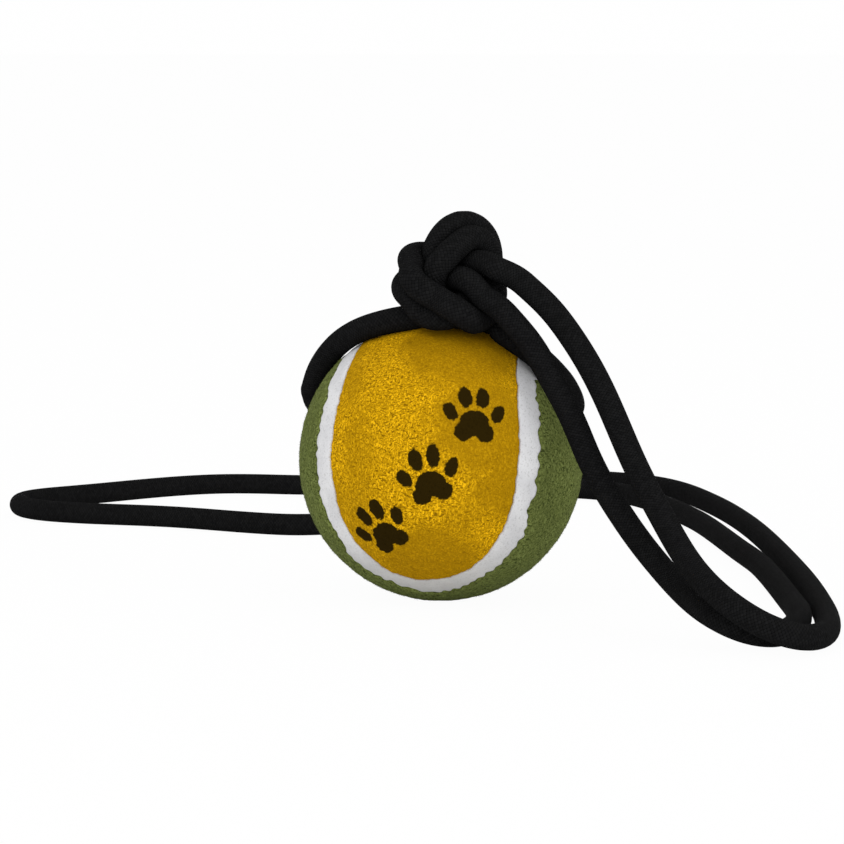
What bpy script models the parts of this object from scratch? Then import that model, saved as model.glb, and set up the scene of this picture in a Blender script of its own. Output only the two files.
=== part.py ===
"""A felted rubber ball on a doubled rope, for throwing and tugging.

Metres, +Z up. The origin is where the ball rests on the floor; +X is to the right and
-Y to the front of the ball. The rope runs through two holes in the ball, its two halves
are tied together in one overhand knot on top, and past the knot they are the hand loop.
"""
import math

import bmesh
import bpy
import numpy as np
from mathutils import Matrix, Vector

# Ball
BALL_DIAMETER = 0.064
FELT_THICKNESS = 0.0022
RUBBER_WALL = 0.0035
SEAM_WIDTH = 0.0050
SEAM_RECESS = 0.0003
REST_FLAT_DEPTH = 0.0005
BONDED_GAP = 0.0003

# Rope, thinner where the knot squeezes it, and its straight bore off the ball's middle
ROPE_DIAMETER = 0.0055
KNOT_SQUEEZE_SHARE = 0.80
LAID_GAP = 0.0006
BORE_CLEARANCE = 0.0006
MOUTH_FLARE = 0.0014
BORE_RISE = 0.0095
BORE_SETBACK = 0.0031
BORE_TURN = math.radians(-20.8)

# Where the knot's middle stands over the ball: a direction, and a height over the felt
KNOT_DIRECTION_SHARES = (0.036, -0.219, 0.975)
KNOT_HEIGHT = 0.0082

# The seam is the curve of a tennis ball: how deep its lobes cut in, and how it is turned
SEAM_LOBE_SHARE = 0.184
SEAM_TURN = math.radians(35.7)
SEAM_TILT = math.radians(3.0)
SEAM_ROLL = math.radians(-2.0)

# How finely round things are faceted
PANEL_STEPS_ALONG = 40
PANEL_STEPS_ACROSS = 10
SEAM_STEPS = 88
CUP_SEGMENTS = 32
CUP_STEPS = 10
BORE_SEGMENTS = 20
ROPE_BEVEL_STEPS = 2
SHARP_EDGE = math.radians(40)
MM_PER_METRE = 1000

BALL_RADIUS = BALL_DIAMETER / 2
FELT_INNER_RADIUS = BALL_RADIUS - FELT_THICKNESS
CORE_RADIUS = FELT_INNER_RADIUS - BONDED_GAP
HOLLOW_RADIUS = CORE_RADIUS - RUBBER_WALL
ROPE_RADIUS = ROPE_DIAMETER / 2
KNOT_DIAMETER = ROPE_DIAMETER * KNOT_SQUEEZE_SHARE
BORE_RADIUS = ROPE_RADIUS + BORE_CLEARANCE
BALL_CENTRE = Vector((0, 0, BALL_RADIUS - REST_FLAT_DEPTH))

# The bore's own directions: along it to the right, level across it to the back, and up
ALONG_BORE = Vector((math.cos(BORE_TURN), math.sin(BORE_TURN), 0))
ACROSS_BORE = Vector((-math.sin(BORE_TURN), math.cos(BORE_TURN), 0))
BORE_MIDDLE = ACROSS_BORE * BORE_SETBACK + Vector((0, 0, BORE_RISE))
MOUTH_REACH = math.sqrt(BALL_RADIUS ** 2 - BORE_MIDDLE.length_squared)
KNOT_MIDDLE = Vector(KNOT_DIRECTION_SHARES).normalized() * (BALL_RADIUS + KNOT_HEIGHT)

# The rope's turn out of a mouth: (along the bore past the mouth, up the felt), in diameters
MOUTH_TURN_SHARES = ((-0.43, 0.0), (-0.02, 0.13), (0.27, 0.44), (0.36, 0.82))
LEFT_BAIL_LEAN = math.radians(12.6)
RIGHT_BAIL_LEAN = math.radians(24.0)

# Where each bail lies on the felt between its mouth and the knot: directions from the centre
LEFT_BAIL_SHARES = ((-0.83, 0.29, 0.48), (-0.74, 0.16, 0.65), (-0.58, -0.03, 0.81), (-0.40, -0.19, 0.90))
RIGHT_BAIL_SHARES = ((0.81, -0.34, 0.49), (0.67, -0.36, 0.65), (0.52, -0.37, 0.77), (0.36, -0.35, 0.87))

# The two halves of the rope in the knot, in squeezed diameters from the knot's middle.
# Each goes up a left leg, over the arch, down behind, up the front to the left, round
# the back of its own leg and out through the arch to the right.
LEFT_KNOT_SHARES = (
    (-2.41, 0.09, -1.53), (-1.81, -0.09, -1.46), (-1.25, -0.09, -1.46), (-0.85, 0.32, -0.94),
    (-0.90, 0.27, -0.18), (-1.00, -0.09, 0.55), (-1.00, -0.27, 1.27), (-0.80, -0.18, 2.01),
    (-0.35, 0.00, 2.70), (0.15, 0.18, 3.14), (0.65, 0.36, 3.28), (1.26, 0.64, 3.12),
    (1.77, 0.98, 2.74), (2.14, 1.41, 2.16), (2.25, 1.68, 1.48), (2.15, 1.73, 0.77),
    (2.04, 1.55, 0.12), (1.78, 0.98, -0.44), (1.26, 0.07, -0.67), (0.60, -0.73, -0.80),
    (-0.11, -1.18, -1.26), (-0.81, -1.32, -1.50), (-1.40, -1.18, -1.16), (-1.75, -0.73, -0.60),
    (-1.88, -0.04, -0.10), (-1.66, 0.64, 0.24), (-1.15, 1.09, 0.41), (-0.60, 1.09, 0.36),
    (-0.04, 0.86, 0.35), (0.60, -0.27, 0.42), (1.41, -1.63, -0.08), (2.55, -2.27, -0.79),
    (3.52, -2.72, -1.80))
RIGHT_KNOT_SHARES = (
    (1.80, -0.59, -2.02), (1.09, -0.95, -2.03), (0.35, -0.59, -1.56), (-0.15, -0.09, -0.80),
    (-0.28, -0.27, -0.13), (-0.30, -0.73, 0.55), (-0.46, -1.09, 1.23), (-0.41, -1.14, 1.73),
    (-0.11, -1.00, 2.02), (0.29, -0.73, 2.15), (0.75, -0.36, 2.05), (1.15, 0.05, 1.75),
    (1.46, 0.41, 1.32), (1.67, 0.50, 0.81), (1.81, 0.18, 0.33), (1.90, -0.45, -0.22),
    (1.84, -1.18, -0.76), (1.53, -1.75, -1.21), (1.03, -2.00, -1.33), (0.43, -2.09, -1.03),
    (-0.26, -1.95, -0.57), (-0.86, -1.82, -0.01), (-1.35, -1.45, 0.61), (-1.60, -0.82, 1.16),
    (-1.50, 0.05, 1.57), (-1.05, 0.82, 1.69), (-0.49, 1.14, 1.49), (0.16, 0.96, 1.38),
    (0.91, 0.18, 1.39), (1.64, -0.84, 1.39), (2.40, -1.47, 1.12), (3.42, -1.81, 0.65),
    (4.43, -2.27, -0.19))

# The hand loop's route on the floor, from the left half's end to the right half's end.
# It comes down beside the ball, turns on the floor in front, runs back and lies behind.
HAND_LOOP_ROUTE = (
    (0.0209, -0.0220, 0.0575), (0.0245, -0.0232, 0.0510), (0.0284, -0.0240, 0.0440),
    (0.0311, -0.0258, 0.0368), (0.0341, -0.0275, 0.0307), (0.0389, -0.0302, 0.0232),
    (0.0436, -0.0336, 0.0167), (0.0471, -0.0366, 0.0129), (0.0493, -0.0391, 0.0104),
    (0.0513, -0.0426, 0.0087), (0.0528, -0.0466, 0.0078), (0.0542, -0.0507, 0.0071),
    (0.0561, -0.0545, 0.0063), (0.0589, -0.0576, 0.0051), (0.0628, -0.0590, 0.0037),
    (0.0670, -0.0587, 0.0028), (0.0708, -0.0566, 0.00275), (0.0734, -0.0533, 0.0032),
    (0.0748, -0.0493, 0.0038), (0.0755, -0.0451, 0.0041), (0.0763, -0.0367, 0.0038),
    (0.0769, -0.0240, 0.00275), (0.0768, -0.0198, 0.00275), (0.0759, 0.0144, 0.00275),
    (0.0750, 0.0282, 0.00275), (0.0730, 0.0426, 0.00275), (0.0673, 0.0860, 0.00275),
    (0.0637, 0.1017, 0.00275), (0.0595, 0.1160, 0.00275), (0.0535, 0.1310, 0.00275),
    (0.0440, 0.1420, 0.00275), (0.0310, 0.1455, 0.00275), (0.0170, 0.1385, 0.00275),
    (0.0040, 0.1225, 0.00275), (-0.0080, 0.1035, 0.00275), (-0.0205, 0.0885, 0.00275),
    (-0.0354, 0.0825, 0.00275), (-0.0458, 0.0852, 0.00275), (-0.0671, 0.0948, 0.00275),
    (-0.0778, 0.0980, 0.00275), (-0.0886, 0.1002, 0.00275), (-0.0996, 0.1036, 0.00275),
    (-0.1070, 0.1076, 0.00275), (-0.1118, 0.1138, 0.00275), (-0.1120, 0.1208, 0.00275),
    (-0.1078, 0.1264, 0.00275), (-0.1015, 0.1302, 0.00275), (-0.0930, 0.1355, 0.00275),
    (-0.0821, 0.1430, 0.00275), (-0.0716, 0.1492, 0.00275), (-0.0608, 0.1530, 0.00275),
    (-0.0495, 0.1528, 0.00275), (-0.0383, 0.1507, 0.00275), (-0.0200, 0.1520, 0.00275),
    (-0.0020, 0.1565, 0.00275), (0.0160, 0.1605, 0.00275), (0.0340, 0.1610, 0.00275),
    (0.0495, 0.1575, 0.00275), (0.0610, 0.1490, 0.00275), (0.0680, 0.1360, 0.00275),
    (0.0722, 0.1209, 0.00275), (0.0750, 0.1085, 0.00275), (0.0781, 0.0890, 0.00275),
    (0.0806, 0.0628, 0.00275), (0.0830, 0.0066, 0.00275), (0.0828, -0.0250, 0.00275),
    (0.0820, -0.0408, 0.0028), (0.0804, -0.0526, 0.0028), (0.0794, -0.0564, 0.0028),
    (0.0778, -0.0600, 0.0030), (0.0756, -0.0633, 0.0033), (0.0727, -0.0658, 0.0039),
    (0.0692, -0.0673, 0.0050), (0.0655, -0.0674, 0.0065), (0.0622, -0.0662, 0.0083),
    (0.0572, -0.0609, 0.0113), (0.0527, -0.0505, 0.0151), (0.0500, -0.0438, 0.0187),
    (0.0486, -0.0410, 0.0212), (0.0446, -0.0355, 0.0284), (0.0426, -0.0330, 0.0321),
    (0.0409, -0.0312, 0.0357), (0.0391, -0.0298, 0.0399), (0.0348, -0.0270, 0.0500),
    (0.0321, -0.0250, 0.0552), (0.0290, -0.0230, 0.0603), (0.0254, -0.0210, 0.0652))

# How the rope's line is read, in diameters: its samples, its tubes' points, the length
# over which the squeeze comes on, and each half's straight end at the hand loop
CURVE_STEPS = 24
SAMPLE_SHARE = 0.22
TUBE_STEP_SHARE = 0.30
LOOP_POINTS = 80
BEND_CROWDING = 3.0
SQUEEZE_REACH_SHARE = 3.0
STRAIGHT_END_SHARE = 2.2
OWN_REACH_SHARE = 2.3

# How the knot is drawn tight, in rounds that ease its bends and clear its turns
SETTLE_ROUNDS = 480
SETTLE_LAST_SHARE = 0.85
HOME_PULL_SHARE = 0.012
EASE_SHARE = 0.14
FINAL_EASE_SHARE = 0.01
PUSH_SHARE = 0.9


def clear_scene():
    for old in list(bpy.data.objects):
        bpy.data.objects.remove(old, do_unlink=True)


def make_material(name, colour, roughness):
    material = bpy.data.materials.new(name)
    material.use_nodes = True
    shader = material.node_tree.nodes["Principled BSDF"]
    shader.inputs["Base Color"].default_value = (*colour, 1.0)
    shader.inputs["Roughness"].default_value = roughness
    shader.inputs["Metallic"].default_value = 0.0
    material.diffuse_color = (*colour, 1.0)
    return material


def add_object(name, data, material, parent=None, location=(0, 0, 0)):
    piece = bpy.data.objects.new(name, data)
    bpy.context.scene.collection.objects.link(piece)
    if material is not None:
        data.materials.append(material)
    piece.parent = parent
    piece.location = location
    return piece


def mesh_from(name, corners, faces):
    mesh = bpy.data.meshes.new(name)
    mesh.from_pydata([tuple(corner) for corner in corners], [], faces)
    build = bmesh.new()
    build.from_mesh(mesh)
    bmesh.ops.recalc_face_normals(build, faces=build.faces)
    build.to_mesh(mesh)
    build.free()
    mesh.shade_smooth()
    mesh.set_sharp_from_angle(angle=SHARP_EDGE)
    return mesh


def cut_with(piece, cutter):
    cut = piece.modifiers.new("cut_" + cutter.name, 'BOOLEAN')
    cut.operation = 'DIFFERENCE'
    cut.solver = 'EXACT'
    cut.object = cutter


def turn_onto(direction):
    """A turn that takes +Z onto a direction."""
    return Vector((0, 0, 1)).rotation_difference(direction).to_matrix().to_4x4()


def turned_solid(name, profile, segments, direction):
    """Spins an open profile (distance from the axis, height), whose ends lie on the axis."""
    corners, faces, rings = [], [], []
    for away, height in profile:
        if away == 0:
            rings.append([len(corners)])
            corners.append(Vector((0, 0, height)))
            continue
        rings.append(list(range(len(corners), len(corners) + segments)))
        for step in range(segments):
            angle = math.tau * step / segments
            corners.append(Vector((away * math.cos(angle), away * math.sin(angle), height)))
    for low, high in zip(rings, rings[1:]):
        for step in range(segments):
            after = (step + 1) % segments
            quad = [low[step % len(low)], low[after % len(low)], high[after % len(high)], high[step % len(high)]]
            faces.append(tuple(dict.fromkeys(quad)))
    turn = turn_onto(direction)
    return mesh_from(name, [turn @ corner for corner in corners], faces)


def bore_cutter(parent, location):
    """The bore along the rope's chord, with mouths that flare out to the ball's surface."""
    overrun = MOUTH_REACH + ROPE_DIAMETER
    flare_start = MOUTH_REACH - ROPE_RADIUS
    flare_end = MOUTH_REACH + ROPE_RADIUS
    wide = BORE_RADIUS + MOUTH_FLARE * 2
    profile = [(0, overrun), (wide, overrun), (wide, flare_end), (BORE_RADIUS, flare_start)]
    profile += [(away, -height) for away, height in reversed(profile)]
    mesh = turned_solid("rope_bore", profile, BORE_SEGMENTS, ALONG_BORE)
    mesh.transform(Matrix.Translation(BORE_MIDDLE))
    cutter = add_object("rope_bore_cutter", mesh, None, parent, location)
    cutter.hide_render = True
    cutter.display_type = 'WIRE'
    return cutter


def floor_cutter(parent, location):
    """A block whose top cuts the ball flat where it rests."""
    mesh = bpy.data.meshes.new("floor_block")
    build = bmesh.new()
    bmesh.ops.create_cube(build, size=BALL_DIAMETER)
    build.to_mesh(mesh)
    build.free()
    mesh.transform(Matrix.Translation((0, 0, -BALL_CENTRE.z - BALL_RADIUS)))
    cutter = add_object("floor_cutter", mesh, None, parent, location)
    cutter.hide_render = True
    cutter.display_type = 'WIRE'
    return cutter


def core_half(name, side, material, parent, location, bore):
    """One moulded rubber cup. The two are glued rim to rim, halfway along the bore."""
    rim = BONDED_GAP / 2

    def arc(radius, count):
        start = math.asin(rim / radius)
        for step in range(count + 1):
            angle = start + (math.pi / 2 - start) * step / count
            away = 0 if step == count else radius * math.cos(angle)
            yield away, radius * math.sin(angle)

    outer = list(arc(CORE_RADIUS, CUP_STEPS))
    inner = list(arc(HOLLOW_RADIUS, CUP_STEPS))
    mesh = turned_solid(name, list(reversed(outer)) + inner, CUP_SEGMENTS, ALONG_BORE * side)
    piece = add_object(name, mesh, material, parent, location)
    cut_with(piece, bore)
    return piece


def seam_point(t):
    """The middle of the seam on a ball of radius one, before the ball is turned."""
    deep = SEAM_LOBE_SHARE
    wide = 1 - deep
    return Vector((wide * math.sin(t) - deep * math.sin(3 * t),
                   -wide * math.cos(t) - deep * math.cos(3 * t),
                   2 * math.sqrt(wide * deep) * math.sin(2 * t))).normalized()


def seam_edge(t, offset):
    """A point of the seam moved sideways over the ball by an angle."""
    here = seam_point(t)
    small = math.tau / SEAM_STEPS
    ahead = (seam_point(t + small) - seam_point(t - small)).normalized()
    side = ahead.cross(here)
    return here * math.cos(offset) + side * math.sin(offset)


def ball_turn():
    return (Matrix.Rotation(SEAM_TURN, 4, 'Z') @ Matrix.Rotation(SEAM_ROLL, 4, 'Y')
            @ Matrix.Rotation(SEAM_TILT, 4, 'X'))


def felt_panel(name, lobe_start, side, material, parent, location):
    """One dumbbell of felt: arcs over the ball from its seam edge to the mirrored edge."""
    offset = side * (SEAM_WIDTH / 2 + BONDED_GAP) / BALL_RADIUS
    rows = []
    for step in range(PANEL_STEPS_ALONG + 1):
        s = math.pi * step / PANEL_STEPS_ALONG
        first = seam_edge(lobe_start + s, offset)
        last = seam_edge(lobe_start - s, offset)
        if step in (0, PANEL_STEPS_ALONG):
            rows.append([first])
            continue
        whole = first.angle(last)
        row = []
        for place in range(PANEL_STEPS_ACROSS + 1):
            share = place / PANEL_STEPS_ACROSS
            row.append((first * math.sin((1 - share) * whole) + last * math.sin(share * whole))
                       / math.sin(whole))
        rows.append(row)
    turn = ball_turn()
    corners, faces = [], []
    for radius in (BALL_RADIUS, FELT_INNER_RADIUS):
        for row in rows:
            corners += [turn @ (direction * radius) for direction in row]
    count = len(corners) // 2
    starts = np.concatenate([[0], np.cumsum([len(row) for row in rows])])

    def corner(row, place):
        return int(starts[row] + min(place, len(rows[row]) - 1))

    for row in range(PANEL_STEPS_ALONG):
        for place in range(PANEL_STEPS_ACROSS):
            quad = [corner(row, place), corner(row, place + 1),
                    corner(row + 1, place + 1), corner(row + 1, place)]
            quad = tuple(dict.fromkeys(quad))
            faces.append(quad)
            faces.append(tuple(count + index for index in reversed(quad)))
        for place in (0, PANEL_STEPS_ACROSS):
            here, after = corner(row, place), corner(row + 1, place)
            faces.append((here, after, count + after, count + here))
    return add_object(name, mesh_from(name, corners, faces), material, parent, location)


def seam_band(name, material, parent, location):
    """The rubber line between the two felts, one closed band that follows the seam."""
    half = SEAM_WIDTH / 2 / BALL_RADIUS
    section = [(-half, BALL_RADIUS - SEAM_RECESS), (0, BALL_RADIUS - SEAM_RECESS),
               (half, BALL_RADIUS - SEAM_RECESS), (half, FELT_INNER_RADIUS),
               (0, FELT_INNER_RADIUS), (-half, FELT_INNER_RADIUS)]
    turn = ball_turn()
    corners, faces = [], []
    for step in range(SEAM_STEPS):
        t = math.tau * step / SEAM_STEPS
        corners += [turn @ (seam_edge(t, offset) * radius) for offset, radius in section]
    sides = len(section)
    for step in range(SEAM_STEPS):
        here, after = step * sides, (step + 1) % SEAM_STEPS * sides
        for side in range(sides):
            beside = (side + 1) % sides
            faces.append((here + side, here + beside, after + beside, after + side))
    return add_object(name, mesh_from(name, corners, faces), material, parent, location)


def length_along(line):
    """How far along the line each of its points is."""
    spans = np.linalg.norm(np.diff(line[:, :3], axis=0), axis=1)
    return np.concatenate([[0], np.cumsum(spans)])


def samples_at(line, places):
    along = length_along(line)
    return np.stack([np.interp(places, along, column) for column in line.T], axis=1)


def even_samples(line, step):
    whole = length_along(line)[-1]
    return samples_at(line, np.linspace(0, whole, int(round(whole / step)) + 1))


def smooth_route(points, step=SAMPLE_SHARE * ROPE_DIAMETER):
    """Even samples along one smooth curve through the points."""
    p = np.array(points, float)
    spans = np.linalg.norm(np.diff(p, axis=0), axis=1) ** 0.5
    knots = np.concatenate([[0], np.cumsum(spans)])
    p = np.vstack([2 * p[0] - p[1], p, 2 * p[-1] - p[-2]])
    knots = np.concatenate([[-spans[0]], knots, [knots[-1] + spans[-1]]])
    fine = []
    for i in range(1, len(p) - 2):
        p0, p1, p2, p3 = p[i - 1:i + 3]
        t0, t1, t2, t3 = knots[i - 1:i + 3]
        t = np.linspace(t1, t2, CURVE_STEPS, endpoint=False)[:, None]
        a1 = ((t1 - t) * p0 + (t - t0) * p1) / (t1 - t0)
        a2 = ((t2 - t) * p1 + (t - t1) * p2) / (t2 - t1)
        a3 = ((t3 - t) * p2 + (t - t2) * p3) / (t3 - t2)
        b1 = ((t2 - t) * a1 + (t - t0) * a2) / (t2 - t0)
        b2 = ((t3 - t) * a2 + (t - t1) * a3) / (t3 - t1)
        fine.append(((t2 - t) * b1 + (t - t1) * b2) / (t2 - t1))
    return even_samples(np.vstack(fine + [p[-2:-1]]), step)


def crowded_samples(line, count):
    """Samples along a line that stand closer together the tighter it bends."""
    along = length_along(line)
    ways = np.diff(line, axis=0) / np.diff(along)[:, None]
    bend = np.zeros(len(line))
    bend[1:-1] = np.linalg.norm(np.diff(ways, axis=0), axis=1) / (along[2:] - along[:-2]) * 2
    reach = int(round(1 / SAMPLE_SHARE))
    bend = np.convolve(bend, np.ones(2 * reach + 1) / (2 * reach + 1), mode='same')
    crowd = 1 + BEND_CROWDING * bend * ROPE_DIAMETER
    passed = np.concatenate([[0], np.cumsum((crowd[1:] + crowd[:-1]) / 2 * np.diff(along))])
    places = np.interp(np.linspace(0, passed[-1], count), passed, along)
    return samples_at(line, places)


def bail_start(side, lean):
    """The rope's way from the middle of the bore to where it first lies on the felt."""
    up_the_felt = Vector((0, 0, math.cos(lean))) - ACROSS_BORE * math.sin(lean)
    points = [BORE_MIDDLE + ALONG_BORE * side * BONDED_GAP / 2,
              BORE_MIDDLE + ALONG_BORE * side * MOUTH_REACH / 2]
    for past, up in MOUTH_TURN_SHARES:
        points.append(BORE_MIDDLE + ALONG_BORE * side * (MOUTH_REACH + past * ROPE_DIAMETER)
                      + up_the_felt * up * ROPE_DIAMETER)
    return points


def squeezed_radius(line, knot_start):
    """The rope's radius along a half: whole up to the knot, less in it, whole past it."""
    along = length_along(line) / ROPE_DIAMETER
    into = (along - knot_start / ROPE_DIAMETER) / SQUEEZE_REACH_SHARE
    out_of = (along[-1] - STRAIGHT_END_SHARE - along) / SQUEEZE_REACH_SHARE
    held = np.clip(np.minimum(into, out_of), 0, 1)
    eased = held * held * (3 - 2 * held)
    return ROPE_RADIUS * (1 - (1 - KNOT_SQUEEZE_SHARE) * eased)


def rope_half(side, lean, bail_shares, knot_shares):
    """One half of the rope from the ball's middle to the hand loop, before it is settled.

    Each sample is a place and the rope's radius there. The samples in the bore and at
    the mouth are counted too, because they stay where they are.
    """
    on_felt = BALL_RADIUS + ROPE_RADIUS + BONDED_GAP
    start = bail_start(side, lean)
    bail = [Vector(share).normalized() * on_felt for share in bail_shares]
    knot = [KNOT_MIDDLE + Vector(share) * KNOT_DIAMETER for share in knot_shares]
    line = smooth_route(start + bail + knot)
    knot_start = length_along(smooth_route(start + bail))[-1]
    radius = squeezed_radius(line, knot_start)
    return np.column_stack([line, radius]), len(smooth_route(start))


def settle(first, second):
    """Eases the two halves tight and pushes them clear of each other and of the felt."""
    (a, held_a), (b, held_b) = first, second
    whole = np.vstack([a, b])
    home, radius = whole[:, :3], whole[:, 3]
    line = home.copy()
    order = np.arange(len(home))
    half = (order >= len(a)).astype(int)
    straight_end = int(round(STRAIGHT_END_SHARE / SAMPLE_SHARE))
    loose = np.ones(len(home), bool)
    loose[:held_a] = False
    loose[len(a) - straight_end:len(a) + held_b] = False
    loose[len(home) - straight_end:] = False
    loose = loose[:, None]
    beside = np.abs(order[:, None] - order[None, :]) * SAMPLE_SHARE
    own = (half[:, None] == half[None, :]) & (beside < OWN_REACH_SHARE)
    need = radius[:, None] + radius[None, :] + LAID_GAP
    on_felt = (BALL_RADIUS + radius + BONDED_GAP)[:, None]
    for turn in range(SETTLE_ROUNDS):
        last = turn > SETTLE_ROUNDS * SETTLE_LAST_SHARE
        apart = line[:, None, :] - line[None, :, :]
        distance = np.linalg.norm(apart, axis=2)
        np.fill_diagonal(distance, ROPE_DIAMETER)
        short = np.where(own, 0, np.clip(need - distance, 0, None))
        push = (apart / distance[:, :, None] * short[:, :, None]).sum(axis=1)
        push /= np.clip((short > 0).sum(axis=1), 1, None)[:, None]
        line += loose * push * PUSH_SHARE
        bend = np.zeros_like(line)
        bend[1:-1] = (line[:-2] + line[2:]) / 2 - line[1:-1]
        line += loose * bend * (FINAL_EASE_SHARE if last else EASE_SHARE)
        if not last:
            line += loose * (home - line) * HOME_PULL_SHARE
        reach = np.linalg.norm(line, axis=1)[:, None]
        line = np.where(loose & (reach < on_felt), line * on_felt / reach, line)
    settled = np.column_stack([line + np.array(BALL_CENTRE), radius])
    return settled[:len(a)], settled[len(a):]


def least_gap(lines):
    """The smallest clear space between these tubes, and within each one, in millimetres.

    The ends are left out, because there the tubes meet each other face to face.
    """
    ends = int(round(OWN_REACH_SHARE / SAMPLE_SHARE))
    least = math.inf
    for i, one in enumerate(lines):
        for two in lines[i:]:
            a, b = one[ends:-ends], two[ends:-ends]
            gap = np.linalg.norm(a[:, None, :3] - b[None, :, :3], axis=2) - a[:, None, 3] - b[None, :, 3]
            if one is two:
                order = np.arange(len(a))
                gap[np.abs(order[:, None] - order[None, :]) < ends] = math.inf
            least = min(least, gap.min())
    return round(least * MM_PER_METRE, 3)


def rope_tube(name, line, material):
    """A round tube along a line of places and radii, closed at both ends."""
    curve = bpy.data.curves.new(name, 'CURVE')
    curve.dimensions = '3D'
    curve.bevel_depth = ROPE_RADIUS
    curve.bevel_resolution = ROPE_BEVEL_STEPS
    curve.use_fill_caps = True
    spline = curve.splines.new('POLY')
    spline.points.add(len(line) - 1)
    for point, (x, y, z, radius) in zip(spline.points, line):
        point.co = (x, y, z, 1)
        point.radius = radius / ROPE_RADIUS
    spline.use_smooth = True
    return add_object(name, curve, material)


def hand_loop_line(left, right):
    """The loop's fine line, straight for one diameter where it meets each half's end."""

    def past_end(half, reach):
        ahead = half[-1, :3] - half[-2, :3]
        return half[-1, :3] + ahead / np.linalg.norm(ahead) * reach

    straight = BONDED_GAP + ROPE_DIAMETER
    route = [past_end(left, straight), *HAND_LOOP_ROUTE, past_end(right, straight)]
    fine = smooth_route(route)
    points = crowded_samples(fine, LOOP_POINTS - 2)
    ends = [past_end(left, BONDED_GAP)], [past_end(right, BONDED_GAP)]
    return (np.vstack([ends[0], fine, ends[1]]), np.vstack([ends[0], points, ends[1]]))


def with_radius(line):
    return np.column_stack([line, np.full(len(line), ROPE_RADIUS)])


def build_ball(materials):
    swing = bpy.data.objects.new("ball_swing_axis", None)
    bpy.context.scene.collection.objects.link(swing)
    swing.location = BALL_CENTRE + BORE_MIDDLE
    centre = -BORE_MIDDLE
    bore = bore_cutter(swing, centre)
    floor = floor_cutter(swing, centre)
    core_half("core_half_left", -1, materials["rubber"], swing, centre, bore)
    core_half("core_half_right", 1, materials["rubber"], swing, centre, bore)
    felt_panel("gold_felt", math.pi * 3 / 4, -1, materials["gold"], swing, centre)
    green = felt_panel("green_felt", math.pi / 4, 1, materials["green"], swing, centre)
    cut_with(green, bore)
    cut_with(green, floor)
    seam_band("seam_line", materials["white"], swing, centre)


def build_rope(materials):
    left, right = settle(
        rope_half(-1, LEFT_BAIL_LEAN, LEFT_BAIL_SHARES, LEFT_KNOT_SHARES),
        rope_half(1, RIGHT_BAIL_LEAN, RIGHT_BAIL_SHARES, RIGHT_KNOT_SHARES))
    fine, points = hand_loop_line(left, right)
    print("least gap in the knot, mm:", least_gap([left, right]))
    print("least gap with the hand loop, mm:", least_gap([left, right, with_radius(fine)]))
    print("hand loop, mm:", round(length_along(fine)[-1] * MM_PER_METRE, 1), "points:", len(points))
    step = TUBE_STEP_SHARE * ROPE_DIAMETER
    rope_tube("rope_left_half", even_samples(left, step), materials["rope"])
    rope_tube("rope_right_half", even_samples(right, step), materials["rope"])
    rope_tube("hand_loop", with_radius(points), materials["rope"])


clear_scene()
finishes = {
    "gold": make_material("gold_felt", (0.62, 0.33, 0.012), 0.95),
    "green": make_material("green_felt", (0.075, 0.11, 0.028), 0.95),
    "white": make_material("seam_rubber", (0.76, 0.78, 0.80), 0.8),
    "rubber": make_material("core_rubber", (0.10, 0.09, 0.08), 0.7),
    "rope": make_material("rope_sheath", (0.009, 0.009, 0.010), 0.55),
}
build_ball(finishes)
build_rope(finishes)
bpy.context.view_layer.update()
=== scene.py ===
import math

import bmesh
import bpy
import numpy as np
from mathutils import Matrix, Vector


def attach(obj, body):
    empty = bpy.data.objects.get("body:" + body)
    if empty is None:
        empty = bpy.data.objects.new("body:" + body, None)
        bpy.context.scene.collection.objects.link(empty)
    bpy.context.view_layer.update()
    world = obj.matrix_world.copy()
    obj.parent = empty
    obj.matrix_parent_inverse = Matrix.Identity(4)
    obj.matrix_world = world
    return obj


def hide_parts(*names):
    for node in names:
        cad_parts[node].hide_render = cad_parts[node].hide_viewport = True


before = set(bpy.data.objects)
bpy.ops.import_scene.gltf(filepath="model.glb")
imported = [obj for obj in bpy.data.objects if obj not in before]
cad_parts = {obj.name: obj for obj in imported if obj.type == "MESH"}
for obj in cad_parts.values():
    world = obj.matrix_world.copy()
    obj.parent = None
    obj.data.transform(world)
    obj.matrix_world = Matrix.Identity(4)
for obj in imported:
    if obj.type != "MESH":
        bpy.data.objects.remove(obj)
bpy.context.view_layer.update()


# Camera
# A long lens 65 cm in front of the ball and a little above it, tilted down by 7 degrees, so
# that the floor's far edge lies near the top of the picture.
SENSOR_WIDTH_MM = 36
LENS_MM = 122.88
CAMERA_PLACE = (-0.004286, -0.643512, 0.123012)
CAMERA_TILT = math.radians(82.642)

camera_data = bpy.data.cameras.new("camera")
camera_data.sensor_width = SENSOR_WIDTH_MM
camera_data.lens = LENS_MM
camera = bpy.data.objects.new("camera", camera_data)
camera.location = CAMERA_PLACE
camera.rotation_euler = (CAMERA_TILT, 0, 0)
bpy.context.scene.collection.objects.link(camera)
bpy.context.scene.camera = camera


# The rope's course
# One braided rope 5.5 mm thick goes through a bore above the ball's middle. Its two halves
# come up over the felt, are tied together in one overhand knot, which squeezes them a
# little thinner, and run on as the hand loop that lies round the ball on the floor.
BALL_DIAMETER = 0.064
REST_FLAT_DEPTH = 0.0005
BONDED_GAP = 0.0003
ROPE_DIAMETER = 0.0055
KNOT_SQUEEZE_SHARE = 0.80
LAID_GAP = 0.0006
BORE_RISE = 0.0095
BORE_SETBACK = 0.0031
BORE_TURN = math.radians(-20.8)
KNOT_DIRECTION_SHARES = (0.036, -0.219, 0.975)
KNOT_HEIGHT = 0.0082

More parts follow.
